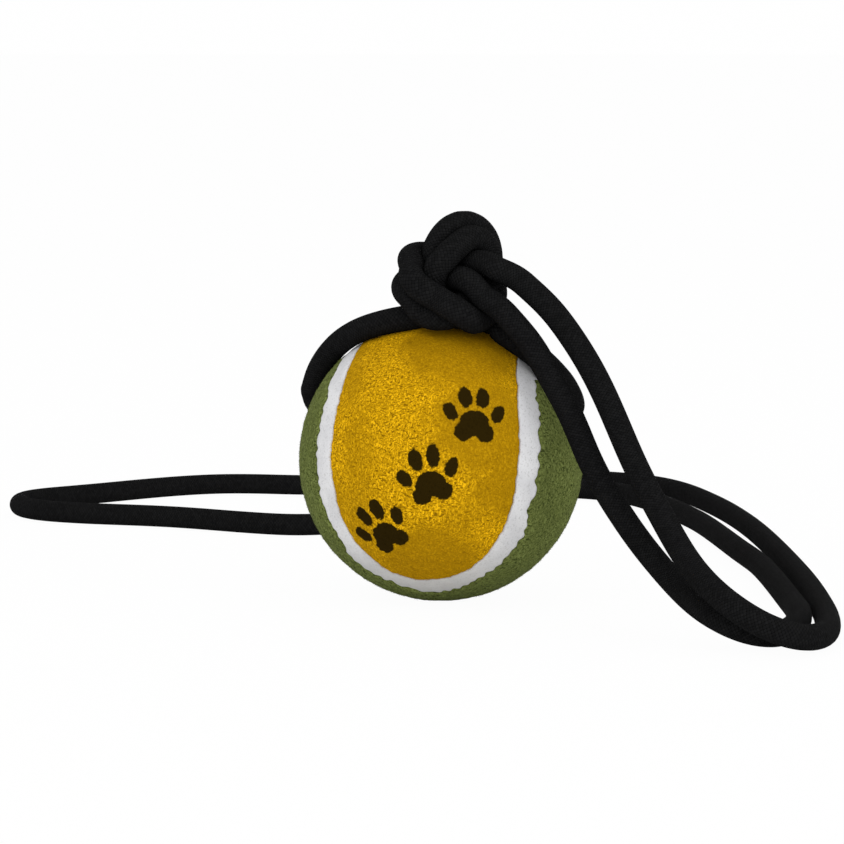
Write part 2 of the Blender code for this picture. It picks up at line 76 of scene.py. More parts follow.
BALL_RADIUS = BALL_DIAMETER / 2
ROPE_RADIUS = ROPE_DIAMETER / 2
KNOT_DIAMETER = ROPE_DIAMETER * KNOT_SQUEEZE_SHARE
BALL_CENTRE = Vector((0, 0, BALL_RADIUS - REST_FLAT_DEPTH))
ALONG_BORE = Vector((math.cos(BORE_TURN), math.sin(BORE_TURN), 0))
ACROSS_BORE = Vector((-math.sin(BORE_TURN), math.cos(BORE_TURN), 0))
BORE_MIDDLE = ACROSS_BORE * BORE_SETBACK + Vector((0, 0, BORE_RISE))
MOUTH_REACH = math.sqrt(BALL_RADIUS ** 2 - BORE_MIDDLE.length_squared)
KNOT_MIDDLE = Vector(KNOT_DIRECTION_SHARES).normalized() * (BALL_RADIUS + KNOT_HEIGHT)

# Out of a mouth: along the bore past it, and up the felt, in diameters
MOUTH_TURN_SHARES = ((-0.43, 0.0), (-0.02, 0.13), (0.27, 0.44), (0.36, 0.82))
LEFT_BAIL_LEAN = math.radians(12.6)
RIGHT_BAIL_LEAN = math.radians(24.0)

# Over the felt to the knot: directions from the ball's centre
LEFT_BAIL_SHARES = ((-0.83, 0.29, 0.48), (-0.74, 0.16, 0.65), (-0.58, -0.03, 0.81), (-0.40, -0.19, 0.90))
RIGHT_BAIL_SHARES = ((0.81, -0.34, 0.49), (0.67, -0.36, 0.65), (0.52, -0.37, 0.77), (0.36, -0.35, 0.87))

# Through the knot, in squeezed diameters from its middle
LEFT_KNOT_SHARES = (
    (-2.41, 0.09, -1.53), (-1.81, -0.09, -1.46), (-1.25, -0.09, -1.46), (-0.85, 0.32, -0.94),
    (-0.90, 0.27, -0.18), (-1.00, -0.09, 0.55), (-1.00, -0.27, 1.27), (-0.80, -0.18, 2.01),
    (-0.35, 0.00, 2.70), (0.15, 0.18, 3.14), (0.65, 0.36, 3.28), (1.26, 0.64, 3.12),
    (1.77, 0.98, 2.74), (2.14, 1.41, 2.16), (2.25, 1.68, 1.48), (2.15, 1.73, 0.77),
    (2.04, 1.55, 0.12), (1.78, 0.98, -0.44), (1.26, 0.07, -0.67), (0.60, -0.73, -0.80),
    (-0.11, -1.18, -1.26), (-0.81, -1.32, -1.50), (-1.40, -1.18, -1.16), (-1.75, -0.73, -0.60),
    (-1.88, -0.04, -0.10), (-1.66, 0.64, 0.24), (-1.15, 1.09, 0.41), (-0.60, 1.09, 0.36),
    (-0.04, 0.86, 0.35), (0.60, -0.27, 0.42), (1.41, -1.63, -0.08), (2.55, -2.27, -0.79),
    (3.52, -2.72, -1.80))
RIGHT_KNOT_SHARES = (
    (1.80, -0.59, -2.02), (1.09, -0.95, -2.03), (0.35, -0.59, -1.56), (-0.15, -0.09, -0.80),
    (-0.28, -0.27, -0.13), (-0.30, -0.73, 0.55), (-0.46, -1.09, 1.23), (-0.41, -1.14, 1.73),
    (-0.11, -1.00, 2.02), (0.29, -0.73, 2.15), (0.75, -0.36, 2.05), (1.15, 0.05, 1.75),
    (1.46, 0.41, 1.32), (1.67, 0.50, 0.81), (1.81, 0.18, 0.33), (1.90, -0.45, -0.22),
    (1.84, -1.18, -0.76), (1.53, -1.75, -1.21), (1.03, -2.00, -1.33), (0.43, -2.09, -1.03),
    (-0.26, -1.95, -0.57), (-0.86, -1.82, -0.01), (-1.35, -1.45, 0.61), (-1.60, -0.82, 1.16),
    (-1.50, 0.05, 1.57), (-1.05, 0.82, 1.69), (-0.49, 1.14, 1.49), (0.16, 0.96, 1.38),
    (0.91, 0.18, 1.39), (1.64, -0.84, 1.39), (2.40, -1.47, 1.12), (3.42, -1.81, 0.65),
    (4.43, -2.27, -0.19))

# From the left half's end round the ball on the floor and back to the right half's end. A
# point without a height lies on the floor.
HAND_LOOP_ROUTE = (
    (0.0209, -0.0220, 0.0575), (0.0245, -0.0232, 0.0510), (0.0284, -0.0240, 0.0440),
    (0.0311, -0.0258, 0.0368), (0.0341, -0.0275, 0.0307), (0.0389, -0.0302, 0.0232),
    (0.0436, -0.0336, 0.0167), (0.0471, -0.0366, 0.0129), (0.0493, -0.0391, 0.0104),
    (0.0513, -0.0426, 0.0087), (0.0528, -0.0466, 0.0078), (0.0542, -0.0507, 0.0071),
    (0.0561, -0.0545, 0.0063), (0.0589, -0.0576, 0.0051), (0.0628, -0.0590, 0.0037),
    (0.0670, -0.0587, 0.0028), (0.0708, -0.0566), (0.0734, -0.0533, 0.0032),
    (0.0748, -0.0493, 0.0038), (0.0755, -0.0451, 0.0041), (0.0763, -0.0367, 0.0038),
    (0.0769, -0.0240), (0.0768, -0.0198), (0.0759, 0.0144), (0.0750, 0.0282), (0.0730, 0.0426),
    (0.0673, 0.0860), (0.0637, 0.1017), (0.0595, 0.1160), (0.0535, 0.1310), (0.0440, 0.1420),
    (0.0310, 0.1455), (0.0170, 0.1385), (0.0040, 0.1225), (-0.0080, 0.1035), (-0.0205, 0.0885),
    (-0.0354, 0.0825), (-0.0458, 0.0852), (-0.0671, 0.0948), (-0.0778, 0.0980),
    (-0.0886, 0.1002), (-0.0996, 0.1036), (-0.1070, 0.1076), (-0.1118, 0.1138),
    (-0.1120, 0.1208), (-0.1078, 0.1264), (-0.1015, 0.1302), (-0.0930, 0.1355),
    (-0.0821, 0.1430), (-0.0716, 0.1492), (-0.0608, 0.1530), (-0.0495, 0.1528),
    (-0.0383, 0.1507), (-0.0200, 0.1520), (-0.0020, 0.1565), (0.0160, 0.1605), (0.0340, 0.1610),
    (0.0495, 0.1575), (0.0610, 0.1490), (0.0680, 0.1360), (0.0722, 0.1209), (0.0750, 0.1085),
    (0.0781, 0.0890), (0.0806, 0.0628), (0.0830, 0.0066), (0.0828, -0.0250),
    (0.0820, -0.0408, 0.0028), (0.0804, -0.0526, 0.0028), (0.0794, -0.0564, 0.0028),
    (0.0778, -0.0600, 0.0030), (0.0756, -0.0633, 0.0033), (0.0727, -0.0658, 0.0039),
    (0.0692, -0.0673, 0.0050), (0.0655, -0.0674, 0.0065), (0.0622, -0.0662, 0.0083),
    (0.0572, -0.0609, 0.0113), (0.0527, -0.0505, 0.0151), (0.0500, -0.0438, 0.0187),
    (0.0486, -0.0410, 0.0212), (0.0446, -0.0355, 0.0284), (0.0426, -0.0330, 0.0321),
    (0.0409, -0.0312, 0.0357), (0.0391, -0.0298, 0.0399), (0.0348, -0.0270, 0.0500),
    (0.0321, -0.0250, 0.0552), (0.0290, -0.0230, 0.0603), (0.0254, -0.0210, 0.0652))

# How finely the rope's line is drawn, and how the two halves are drawn tight
CURVE_STEPS = 24
SAMPLE_SHARE = 0.22
SQUEEZE_REACH_SHARE = 3.0
STRAIGHT_END_SHARE = 2.2
OWN_REACH_SHARE = 2.3
SETTLE_ROUNDS = 480
SETTLE_LAST_SHARE = 0.85
HOME_PULL_SHARE = 0.012
EASE_SHARE = 0.14
FINAL_EASE_SHARE = 0.01
PUSH_SHARE = 0.9


def length_along(line):
    spans = np.linalg.norm(np.diff(line[:, :3], axis=0), axis=1)
    return np.concatenate([[0], np.cumsum(spans)])


def smooth_route(points, step=SAMPLE_SHARE * ROPE_DIAMETER):
    """Even samples along one smooth curve through the points."""
    p = np.array(points, float)
    spans = np.linalg.norm(np.diff(p, axis=0), axis=1) ** 0.5
    knots = np.concatenate([[0], np.cumsum(spans)])
    p = np.vstack([2 * p[0] - p[1], p, 2 * p[-1] - p[-2]])
    knots = np.concatenate([[-spans[0]], knots, [knots[-1] + spans[-1]]])
    fine = []
    for i in range(1, len(p) - 2):
        p0, p1, p2, p3 = p[i - 1:i + 3]
        t0, t1, t2, t3 = knots[i - 1:i + 3]
        t = np.linspace(t1, t2, CURVE_STEPS, endpoint=False)[:, None]
        a1 = ((t1 - t) * p0 + (t - t0) * p1) / (t1 - t0)
        a2 = ((t2 - t) * p1 + (t - t1) * p2) / (t2 - t1)
        a3 = ((t3 - t) * p2 + (t - t2) * p3) / (t3 - t2)
        b1 = ((t2 - t) * a1 + (t - t0) * a2) / (t2 - t0)
        b2 = ((t3 - t) * a2 + (t - t1) * a3) / (t3 - t1)
        fine.append(((t2 - t) * b1 + (t - t1) * b2) / (t2 - t1))
    line = np.vstack(fine + [p[-2:-1]])
    along = length_along(line)
    places = np.linspace(0, along[-1], int(round(along[-1] / step)) + 1)
    return np.stack([np.interp(places, along, column) for column in line.T], axis=1)


def bail_start(side, lean):
    """The rope's way from the middle of the bore to where it first lies on the felt."""
    up_the_felt = Vector((0, 0, math.cos(lean))) - ACROSS_BORE * math.sin(lean)
    points = [BORE_MIDDLE + ALONG_BORE * side * BONDED_GAP / 2,
              BORE_MIDDLE + ALONG_BORE * side * MOUTH_REACH / 2]
    for past, up in MOUTH_TURN_SHARES:
        points.append(BORE_MIDDLE + ALONG_BORE * side * (MOUTH_REACH + past * ROPE_DIAMETER)
                      + up_the_felt * up * ROPE_DIAMETER)
    return points


def squeezed_radius(line, knot_start):
    """The rope's radius along a half: whole up to the knot, less in it, whole past it."""
    along = length_along(line) / ROPE_DIAMETER
    into = (along - knot_start / ROPE_DIAMETER) / SQUEEZE_REACH_SHARE
    out_of = (along[-1] - STRAIGHT_END_SHARE - along) / SQUEEZE_REACH_SHARE
    held = np.clip(np.minimum(into, out_of), 0, 1)
    eased = held * held * (3 - 2 * held)
    return ROPE_RADIUS * (1 - (1 - KNOT_SQUEEZE_SHARE) * eased)


def rope_half(side, lean, bail_shares, knot_shares):
    """Places and radii along one half before it is drawn tight, and how many are held."""
    on_felt = BALL_RADIUS + ROPE_RADIUS + BONDED_GAP
    start = bail_start(side, lean)
    bail = [Vector(share).normalized() * on_felt for share in bail_shares]
    knot = [KNOT_MIDDLE + Vector(share) * KNOT_DIAMETER for share in knot_shares]
    line = smooth_route(start + bail + knot)
    knot_start = length_along(smooth_route(start + bail))[-1]
    return np.column_stack([line, squeezed_radius(line, knot_start)]), len(smooth_route(start))


def settle(first, second):
    """Eases the two halves tight and pushes them clear of each other and of the felt."""
    (a, held_a), (b, held_b) = first, second
    whole = np.vstack([a, b])
    home, radius = whole[:, :3], whole[:, 3]
    line = home.copy()
    order = np.arange(len(home))
    half = (order >= len(a)).astype(int)
    straight_end = int(round(STRAIGHT_END_SHARE / SAMPLE_SHARE))
    loose = np.ones(len(home), bool)
    loose[:held_a] = False
    loose[len(a) - straight_end:len(a) + held_b] = False
    loose[len(home) - straight_end:] = False
    loose = loose[:, None]
    beside = np.abs(order[:, None] - order[None, :]) * SAMPLE_SHARE
    own = (half[:, None] == half[None, :]) & (beside < OWN_REACH_SHARE)
    need = radius[:, None] + radius[None, :] + LAID_GAP
    on_felt = (BALL_RADIUS + radius + BONDED_GAP)[:, None]
    for turn in range(SETTLE_ROUNDS):
        last = turn > SETTLE_ROUNDS * SETTLE_LAST_SHARE
        apart = line[:, None, :] - line[None, :, :]
        distance = np.linalg.norm(apart, axis=2)
        np.fill_diagonal(distance, ROPE_DIAMETER)
        short = np.where(own, 0, np.clip(need - distance, 0, None))
        push = (apart / distance[:, :, None] * short[:, :, None]).sum(axis=1)
        push /= np.clip((short > 0).sum(axis=1), 1, None)[:, None]
        line += loose * push * PUSH_SHARE
        bend = np.zeros_like(line)
        bend[1:-1] = (line[:-2] + line[2:]) / 2 - line[1:-1]
        line += loose * bend * (FINAL_EASE_SHARE if last else EASE_SHARE)
        if not last:
            line += loose * (home - line) * HOME_PULL_SHARE
        reach = np.linalg.norm(line, axis=1)[:, None]
        line = np.where(loose & (reach < on_felt), line * on_felt / reach, line)
    settled = np.column_stack([line + np.array(BALL_CENTRE), radius])
    return settled[:len(a)], settled[len(a):]


left_half, right_half = settle(
    rope_half(-1, LEFT_BAIL_LEAN, LEFT_BAIL_SHARES, LEFT_KNOT_SHARES),
    rope_half(1, RIGHT_BAIL_LEAN, RIGHT_BAIL_SHARES, RIGHT_KNOT_SHARES))


# The hand loop and the two knotted halves
# The sheath is braided of fine black yarns over a soft core. All three pieces are cut from
# one tube, so that the braid runs on from piece to piece. Where strands press on each
# other or on the felt, the tube is pressed flat, as a soft rope is in a tight knot.
CUT_END_EDGE = math.radians(60)
RING_STEP = 0.0006
RING_SIDES = 28
KNOT_SWELL_SHARE = 0.34
PRESSED_GAP = 0.00004
LOOP_EASING_ROUNDS = 50
LOOP_EASING_REACH = 0.004
MOUTH_EASING_ROUNDS = 60
MOUTH_EASING_REACH = 0.011
MOUTH_EASING_FADE = 0.004
PRESSED_INTO_FELT = 0.0003
FELT_PULL_REACH = 0.0010
FELT_PULL_GAIN = 1.5
BORE_FADE = 0.0012
LEAST_FACING = 0.05
PRESSED_EVENINGS = 2


def past_end(half, reach):
    """The point this far straight on past the end of a knotted half."""
    ahead = half[-1, :3] - half[-2, :3]
    return half[-1, :3] + ahead / np.linalg.norm(ahead) * reach


def even_out(line, share, rounds):
    """Draws each point of a line, by its share, towards the middle of its neighbours."""
    for _ in range(rounds):
        line[1:-1, :3] += share[1:-1, None] * ((line[:-2, :3] + line[2:, :3]) / 2 - line[1:-1, :3])


def whole_rope():
    """One fine line with radii from mouth to mouth, and where the hand loop starts and ends."""
    straight = BONDED_GAP + ROPE_DIAMETER
    route = [(*point, ROPE_RADIUS)[:3] for point in HAND_LOOP_ROUTE]
    loop = smooth_route([past_end(left_half, straight), *route, past_end(right_half, straight)])
    loop = np.column_stack([loop, np.full(len(loop), ROPE_RADIUS)])
    coarse = np.vstack([left_half, loop, right_half[::-1]])
    fine = smooth_route(coarse, RING_STEP)
    along = length_along(fine)
    starts = length_along(left_half)[-1] + BONDED_GAP / 2
    ends = along[-1] - length_along(right_half)[-1] - BONDED_GAP / 2

    # Past the knot the rope is stiff enough to even out its small bends
    past_knot = np.minimum(along - starts, ends - along) / LOOP_EASING_REACH + 1
    even_out(fine, np.clip(past_knot, 0, 1), LOOP_EASING_ROUNDS)

    # Over the soft lip of the right mouth the rope turns in a rounder bend
    outside_ball = np.linalg.norm(fine[:, :3] - np.array(BALL_CENTRE), axis=1) > BALL_RADIUS
    off_mouth = np.abs(along - along[np.flatnonzero(outside_ball)[-1]])
    at_mouth = np.clip((MOUTH_EASING_REACH - off_mouth) / MOUTH_EASING_FADE, 0, 1)
    even_out(fine, at_mouth, MOUTH_EASING_ROUNDS)

    # Where it lies on the felt, the rope is drawn tight and sinks in a little
    outward = fine[:, :3] - np.array(BALL_CENTRE)
    away = np.linalg.norm(outward, axis=1)
    clear = away - BALL_RADIUS - fine[:, 3]
    pull = np.clip((FELT_PULL_REACH - clear) / FELT_PULL_REACH * FELT_PULL_GAIN, 0, 1)
    outside_bore = np.clip((clear + BORE_FADE) / BORE_FADE, 0, 1)
    fine[:, :3] -= outward / away[:, None] * (PRESSED_INTO_FELT * pull * outside_bore)[:, None]
    return fine, int(np.searchsorted(along, starts)), int(np.searchsorted(along, ends))


def ring_frames(line):
    """Each ring's two directions, carried along the line with no twist."""
    ahead = np.gradient(line, axis=0)
    ahead /= np.linalg.norm(ahead, axis=1)[:, None]
    side = np.zeros_like(line)
    side[0] = np.cross(ahead[0], (0, 0, 1))
    side[0] /= np.linalg.norm(side[0])
    for i in range(1, len(line)):
        turned = side[i - 1] - ahead[i] * (side[i - 1] @ ahead[i])
        side[i] = turned / np.linalg.norm(turned)
    return side, np.cross(ahead, side)


def pressed_radii(line, radius, outward):
    """How far out each point of each ring is, once its neighbours have pressed it flat."""
    knotted = np.clip((ROPE_RADIUS - radius) / (ROPE_RADIUS - KNOT_DIAMETER / 2), 0, 1)
    free = radius * (1 + KNOT_SWELL_SHARE * knotted)
    out = np.repeat(free[:, None], RING_SIDES, axis=1)
    reach = int(OWN_REACH_SHARE * ROPE_DIAMETER / RING_STEP)
    for i, here in enumerate(line):
        apart = line - here
        distance = np.linalg.norm(apart, axis=1)
        near = np.flatnonzero(distance < free[i] + free + PRESSED_GAP)
        near = near[np.abs(near - i) > reach]
        if len(near) == 0:
            continue
        facing = outward[i] @ (apart[near] / distance[near, None]).T
        limit = distance[near] * free[i] / (free[i] + free[near]) - PRESSED_GAP
        pressed = np.where(facing > LEAST_FACING, limit / np.maximum(facing, LEAST_FACING), np.inf)
        out[i] = np.minimum(out[i], pressed.min(axis=1))
    for _ in range(PRESSED_EVENINGS):
        around = (np.roll(out, 1, axis=1) + 2 * out + np.roll(out, -1, axis=1)) / 4
        out[1:-1] = (around[:-2] + 2 * around[1:-1] + around[2:]) / 4
    return out


def new_piece(name, mesh):
    """A mesh put in the scene as an object."""
    piece = bpy.data.objects.new(name, mesh)
    bpy.context.scene.collection.objects.link(piece)
    return piece


def grid_faces(rows, columns, closed_rows=False, closed_columns=False):
    """Four-sided faces over rows of points, which may close on themselves."""
    row, column = np.meshgrid(np.arange(rows - (not closed_rows)),
                              np.arange(columns - (not closed_columns)), indexing='ij')
    after, beside = (row + 1) % rows, (column + 1) % columns
    faces = [row * columns + column, row * columns + beside,
             after * columns + beside, after * columns + column]
    return np.stack(faces, axis=2).reshape(-1, 4)


def tube_faces(count, sides):
    """The faces of a tube over rings of points, with its two ends closed."""
    faces = grid_faces(count, sides, closed_columns=True).tolist()
    faces.append(list(range(sides))[::-1])
    faces.append(list(range((count - 1) * sides, count * sides)))
    return faces


def sheath_tube(name, rings, travelled):
    """A closed tube over rings of points, with the braid's way round and along it."""
    count, sides = rings.shape[:2]
    mesh = bpy.data.meshes.new(name)
    mesh.from_pydata(rings.reshape(-1, 3), [], tube_faces(count, sides))
    turn = np.tile(np.arange(sides), count - 1) / sides
    after = turn + 1 / sides
    low = np.repeat(travelled[:-1], sides) / (math.tau * ROPE_RADIUS)
    high = np.repeat(travelled[1:], sides) / (math.tau * ROPE_RADIUS)
    corners = np.stack([turn, low, after, low, after, high, turn, high], axis=1).reshape(-1, 2)
    way = mesh.uv_layers.new(name="braid_way")
    way.data.foreach_set("uv", np.vstack([corners, np.zeros((2 * sides, 2))]).ravel())
    mesh.shade_smooth()
    mesh.set_sharp_from_angle(angle=CUT_END_EDGE)
    return new_piece(name, mesh)


def set_inputs(tree, item, inputs):
    """Sets or links a node's inputs."""
    for key, value in inputs.items():
        if isinstance(value, bpy.types.NodeSocket):
            tree.links.new(value, item.inputs[key])
        else:
            item.inputs[key].default_value = value


def place(tree, kind, inputs=None, **settings):
    """Adds a node, with its settings and its inputs."""
    item = tree.nodes.new(kind)
    for name, value in settings.items():
        setattr(item, name, value)
    set_inputs(tree, item, inputs or {})
    return item


def maths(tree, operation, *values):
    """One sum on numbers or sockets."""
    inputs = dict(enumerate(values))
    return place(tree, "ShaderNodeMath", inputs, operation=operation).outputs[0]


def mixed_colour(tree, share, first, second):
    """The first colour, and a share of the second in its place."""
    inputs = {"Factor": share, 6: first, 7: second}
    return place(tree, "ShaderNodeMix", inputs, data_type='RGBA').outputs[2]


def stepped(tree, value, low, high, to_low=0.0, to_high=1.0):
    """A smooth step from one value to another, as the input goes from low to high."""
    inputs = {"Value": value, 1: low, 2: high, 3: to_low, 4: to_high}
    return place(tree, "ShaderNodeMapRange", inputs, interpolation_type='SMOOTHSTEP').outputs[0]


def noise(tree, spot, scale, detail, roughness=0.5):
    """A cloudy pattern: its number comes out first, and its colour second."""
    inputs = {"Vector": spot, "Scale": scale, "Detail": detail, "Roughness": roughness}
    return place(tree, "ShaderNodeTexNoise", inputs).outputs


def new_group(name, inputs, outputs):
    """A shader node group with these sockets, each a name, a kind and maybe a first value."""
    group = bpy.data.node_groups.new(name, 'ShaderNodeTree')
    for way, sockets in (('INPUT', inputs), ('OUTPUT', outputs)):
        for socket, kind, *value in sockets:
            item = group.interface.new_socket(
                name=socket, in_out=way, socket_type="NodeSocket" + kind)
            if value:
                item.default_value = value[0]
    given = group.nodes.new("NodeGroupInput").outputs
    return group, given, group.nodes.new("NodeGroupOutput").inputs


def new_material(name):
    """A material, its node tree, its shader and its places on the piece."""
    material = bpy.data.materials.new(name)
    material.use_nodes = True
    tree = material.node_tree
    spot = place(tree, "ShaderNodeTexCoord").outputs["Object"]
    return material, tree, tree.nodes["Principled BSDF"], spot


def surface(tree, shader, inputs, height, strength, depth):
    """Gives a shader its inputs and a bumped surface."""
    bump = place(tree, "ShaderNodeBump", {
        "Height": height, "Strength": strength, "Distance": depth})
    set_inputs(tree, shader, {**inputs, "Normal": bump.outputs[0]})


YARN_ROUNDING = 3.6
YARN_RISE = 0.55
THREAD_DEPTH = 0.10
YARN_CHANCES = (0.37, 0.61)
CREASE_HEIGHTS = (0.15, 0.55)


def braid_group():
    """Two sets of yarns that wind opposite ways and pass over and under each other."""
    group, given, out = new_group(
        "braid",
        [("Way", 'Vector'), ("Yarns Round", 'Float', 16.0), ("Yarns Along", 'Float', 24.0),
         ("Threads", 'Float', 3.0)],
        [("Height", 'Float'), ("Crease", 'Float'), ("Yarn", 'Float')])
    way = place(group, "ShaderNodeSeparateXYZ", {0: given["Way"]}).outputs
    round_it = maths(group, 'MULTIPLY', way["X"], given["Yarns Round"])
    along_it = maths(group, 'MULTIPLY', way["Y"], given["Yarns Along"])
    first = maths(group, 'ADD', round_it, along_it)
    second = maths(group, 'SUBTRACT', round_it, along_it)
    counts = [maths(group, 'FLOOR', way) for way in (first, second)]
    first_over = maths(group, 'PINGPONG', maths(group, 'ADD', *counts), 1.0)
    heights = []
    for across, lengthwise in ((first, second), (second, first)):
        middle = maths(group, 'ABSOLUTE', maths(group, 'SUBTRACT', maths(group, 'FRACT', across), 0.5))
        crown = maths(group, 'SQRT', maths(group, 'SUBTRACT', 1.0, maths(
            group, 'MULTIPLY', YARN_ROUNDING, maths(group, 'MULTIPLY', middle, middle))))
        rise = maths(group, 'SINE', maths(group, 'MULTIPLY', maths(group, 'FRACT', lengthwise), math.pi))
        thread = maths(group, 'COSINE', maths(group, 'MULTIPLY', maths(
            group, 'MULTIPLY', across, given["Threads"]), math.tau))
        rise = maths(group, 'MULTIPLY_ADD', rise, YARN_RISE, 1 - YARN_RISE)
        height = maths(group, 'MULTIPLY', crown, rise)
        heights.append(maths(group, 'MULTIPLY_ADD', thread, -THREAD_DEPTH, height))
    yarn = maths(group, 'ADD', *[
        maths(group, 'MULTIPLY', count, chance) for count, chance in zip(counts, YARN_CHANCES)])
    inputs = {"Factor": first_over, 2: heights[0], 3: heights[1]}
    shown = place(group, "ShaderNodeMix", inputs).outputs[0]
    group.links.new(shown, out["Height"])
    group.links.new(stepped(group, shown, *CREASE_HEIGHTS, 1.0, 0.0), out["Crease"])
    chance = place(group, "ShaderNodeTexWhiteNoise", {"W": yarn}, noise_dimensions='1D').outputs[0]
    group.links.new(chance, out["Yarn"])
    return group


YARN_BLACKS = ((0.0074, 0.0074, 0.0076, 1), (0.0120, 0.0120, 0.0123, 1))
YARN_DUST = (0.0140, 0.0140, 0.0142, 1)
DUST_SCALE = 90.0
DUST_SHARE = 0.25
# Painted shade: the creases between the yarns are drawn close to black
CREASE_PAINTED_SHADE = (0.0012, 0.0012, 0.0013, 1)
CREASE_SHADE_SHARE = 0.8
SHEATH_ROUGHNESS = (0.86, 0.94)
SHEATH_SHINE = 0.01
SHEATH_BUMP = 0.9
BRAID_HEIGHT = 0.00030


def sheath_material():
    """Near-black yarns, with painted shade in the creases between them, and a little dusty in places."""
    material, tree, shader, spot = new_material("black_braided_sheath")
    way = place(tree, "ShaderNodeUVMap", uv_map="braid_way").outputs[0]
    braid = place(tree, "ShaderNodeGroup", {"Way": way}, node_tree=braid_group()).outputs
    dust = noise(tree, spot, DUST_SCALE, 3.0)[0]
    yarn = mixed_colour(tree, braid["Yarn"], *YARN_BLACKS)
    dusty = mixed_colour(tree, stepped(tree, dust, 0.45, 0.75, 0.0, DUST_SHARE), yarn, YARN_DUST)
    # Painted shade darkens the creases of the braid
    crease_shade = maths(tree, 'MULTIPLY', braid["Crease"], CREASE_SHADE_SHARE)
    crease_shaded = mixed_colour(tree, crease_shade, dusty, CREASE_PAINTED_SHADE)
    rough = stepped(tree, dust, 0.3, 0.7, *SHEATH_ROUGHNESS)
    surface(tree, shader, {
        "Base Color": crease_shaded, "Roughness": rough, "Specular IOR Level": SHEATH_SHINE},
            braid["Height"], SHEATH_BUMP, BRAID_HEIGHT)
    return material


def from_bore(places):
    """How far places are from the bore's own line."""
    apart = places - np.array(BORE_MIDDLE + BALL_CENTRE)
    apart -= (apart @ np.array(ALONG_BORE))[..., None] * np.array(ALONG_BORE)
    return np.linalg.norm(apart, axis=-1, keepdims=True)


rope_line, loop_start, loop_end = whole_rope()
rope_side, rope_up = ring_frames(rope_line[:, :3])
ring_turns = np.linspace(0, math.tau, RING_SIDES, endpoint=False)
rope_outward = (np.cos(ring_turns)[None, :, None] * rope_side[:, None, :]
                + np.sin(ring_turns)[None, :, None] * rope_up[:, None, :])
rope_out = pressed_radii(rope_line[:, :3], rope_line[:, 3], rope_outward)
rope_rings = rope_line[:, None, :3] + rope_outward * rope_out[:, :, None]

# Past the soft lips of the bore nothing of the rope reaches into the felt or the floor
from_ball = rope_rings - np.array(BALL_CENTRE)
ball_reach = np.linalg.norm(from_ball, axis=2, keepdims=True)
least = BALL_RADIUS + PRESSED_GAP
on_ball = from_ball * least / ball_reach + np.array(BALL_CENTRE)
too_deep = (from_bore(rope_rings) > ROPE_DIAMETER) & (ball_reach < least)
rope_rings = np.where(too_deep, on_ball, rope_rings)
rope_rings[:, :, 2] = np.maximum(rope_rings[:, :, 2], 0)

rope_travelled = length_along(rope_line)
sheath = sheath_material()
loop_piece, left_piece, right_piece = [
    sheath_tube(name, rope_rings[first:last], rope_travelled[first:last])
    for name, first, last in (("hand_loop_rope", loop_start, loop_end + 1),
                              ("knotted_left_half", 0, loop_start + 1),
                              ("knotted_right_half", loop_end, len(rope_rings)))]
for piece, stood_for in ((loop_piece, "hand_loop"), (left_piece, "rope_left_half"),
                         (right_piece, "rope_right_half")):
    piece.data.materials.append(sheath)
    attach(piece, "rope")
    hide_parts(stood_for)


# The two felts
# Two dumbbell-shaped panels of woven felt, 2 mm thick, are glued round the rubber core.
# One is dyed gold, the other olive green. The cut edges are soft and a little ragged, the
# green one more so, and short loose fibres stand up all over.
FELT_THICKNESS = 0.0022
SEAM_WIDTH = 0.0050
SEAM_LOBE_SHARE = 0.184
SEAM_TURN = math.radians(35.7)
SEAM_TILT = math.radians(3)
SEAM_ROLL = math.radians(-2)
SEAM_STEPS = 88
GOLD_LOBE = math.tau * 3 / 8
GREEN_LOBE = math.tau / 8
ROWS = 380
PLACES = 130
ROW_CROWDING = 0.75
SLIGHT_ANGLE = 1e-6
MEASURED_AT_ONCE = 4000
MERGE_REACH = 1e-7
LEAST_EDGE = 1e-8
EDGE_ROUNDING = 0.0009
EDGE_CROWDING = 2.2
GOLD_RAGGEDNESS = 0.00014
GREEN_RAGGEDNESS = 0.00052
RAGGED_WAVES = 60
RAGGED_TURNS = (12, 150)
RAGGED_HEIGHTS = (0.4, 1.0)
RAGGED_COARSE = 30
RAGGED_FALL = 0.8
RAGGED_SPREAD = 2.2
GOLD_SEED = 11
GREEN_SEED = 23
LUMP_HEIGHT = 0.00005
LUMP_WAVES = 30
LUMP_SPANS = (0.0012, 0.006)
BORE_CLEARANCE = 0.0006
BORE_RADIUS = ROPE_RADIUS + BORE_CLEARANCE
MOUTH_ROUNDING = 0.0016
MOUTH_SEGMENTS = 72
MOUTH_STEPS = 9
MOUTH_SETBACK_SHARE = 0.9
FIBRES = 11000
FIBRE_LENGTHS = (0.0004, 0.0008)
FIBRE_THICKNESS = 0.00009
FIBRE_LEAN = (math.radians(58), math.radians(80))
FIBRES_ABOVE = 0.0008
FIBRE_SEEDS = (31, 47)

BALL_TURN = np.array((Matrix.Rotation(SEAM_TURN, 3, 'Z') @ Matrix.Rotation(SEAM_ROLL, 3, 'Y')
                      @ Matrix.Rotation(SEAM_TILT, 3, 'X')))


def seam_point(t):
    """The middle of the seam on a ball of radius one, before the ball is turned."""
    deep = SEAM_LOBE_SHARE
    wide = 1 - deep
    point = np.stack([wide * np.sin(t) - deep * np.sin(3 * t),
                      -wide * np.cos(t) - deep * np.cos(3 * t),
                      2 * math.sqrt(wide * deep) * np.sin(2 * t)], axis=-1)
    return point / np.linalg.norm(point, axis=-1, keepdims=True)


def seam_edge(t, offset):
    """Points of the seam moved sideways over the ball by an angle."""
    here = seam_point(t)
    small = math.tau / SEAM_STEPS
    ahead = seam_point(t + small) - seam_point(t - small)
    ahead /= np.linalg.norm(ahead, axis=-1, keepdims=True)
    side = np.cross(ahead, here)
    offset = np.asarray(offset)[..., None]
    return here * np.cos(offset) + side * np.sin(offset)


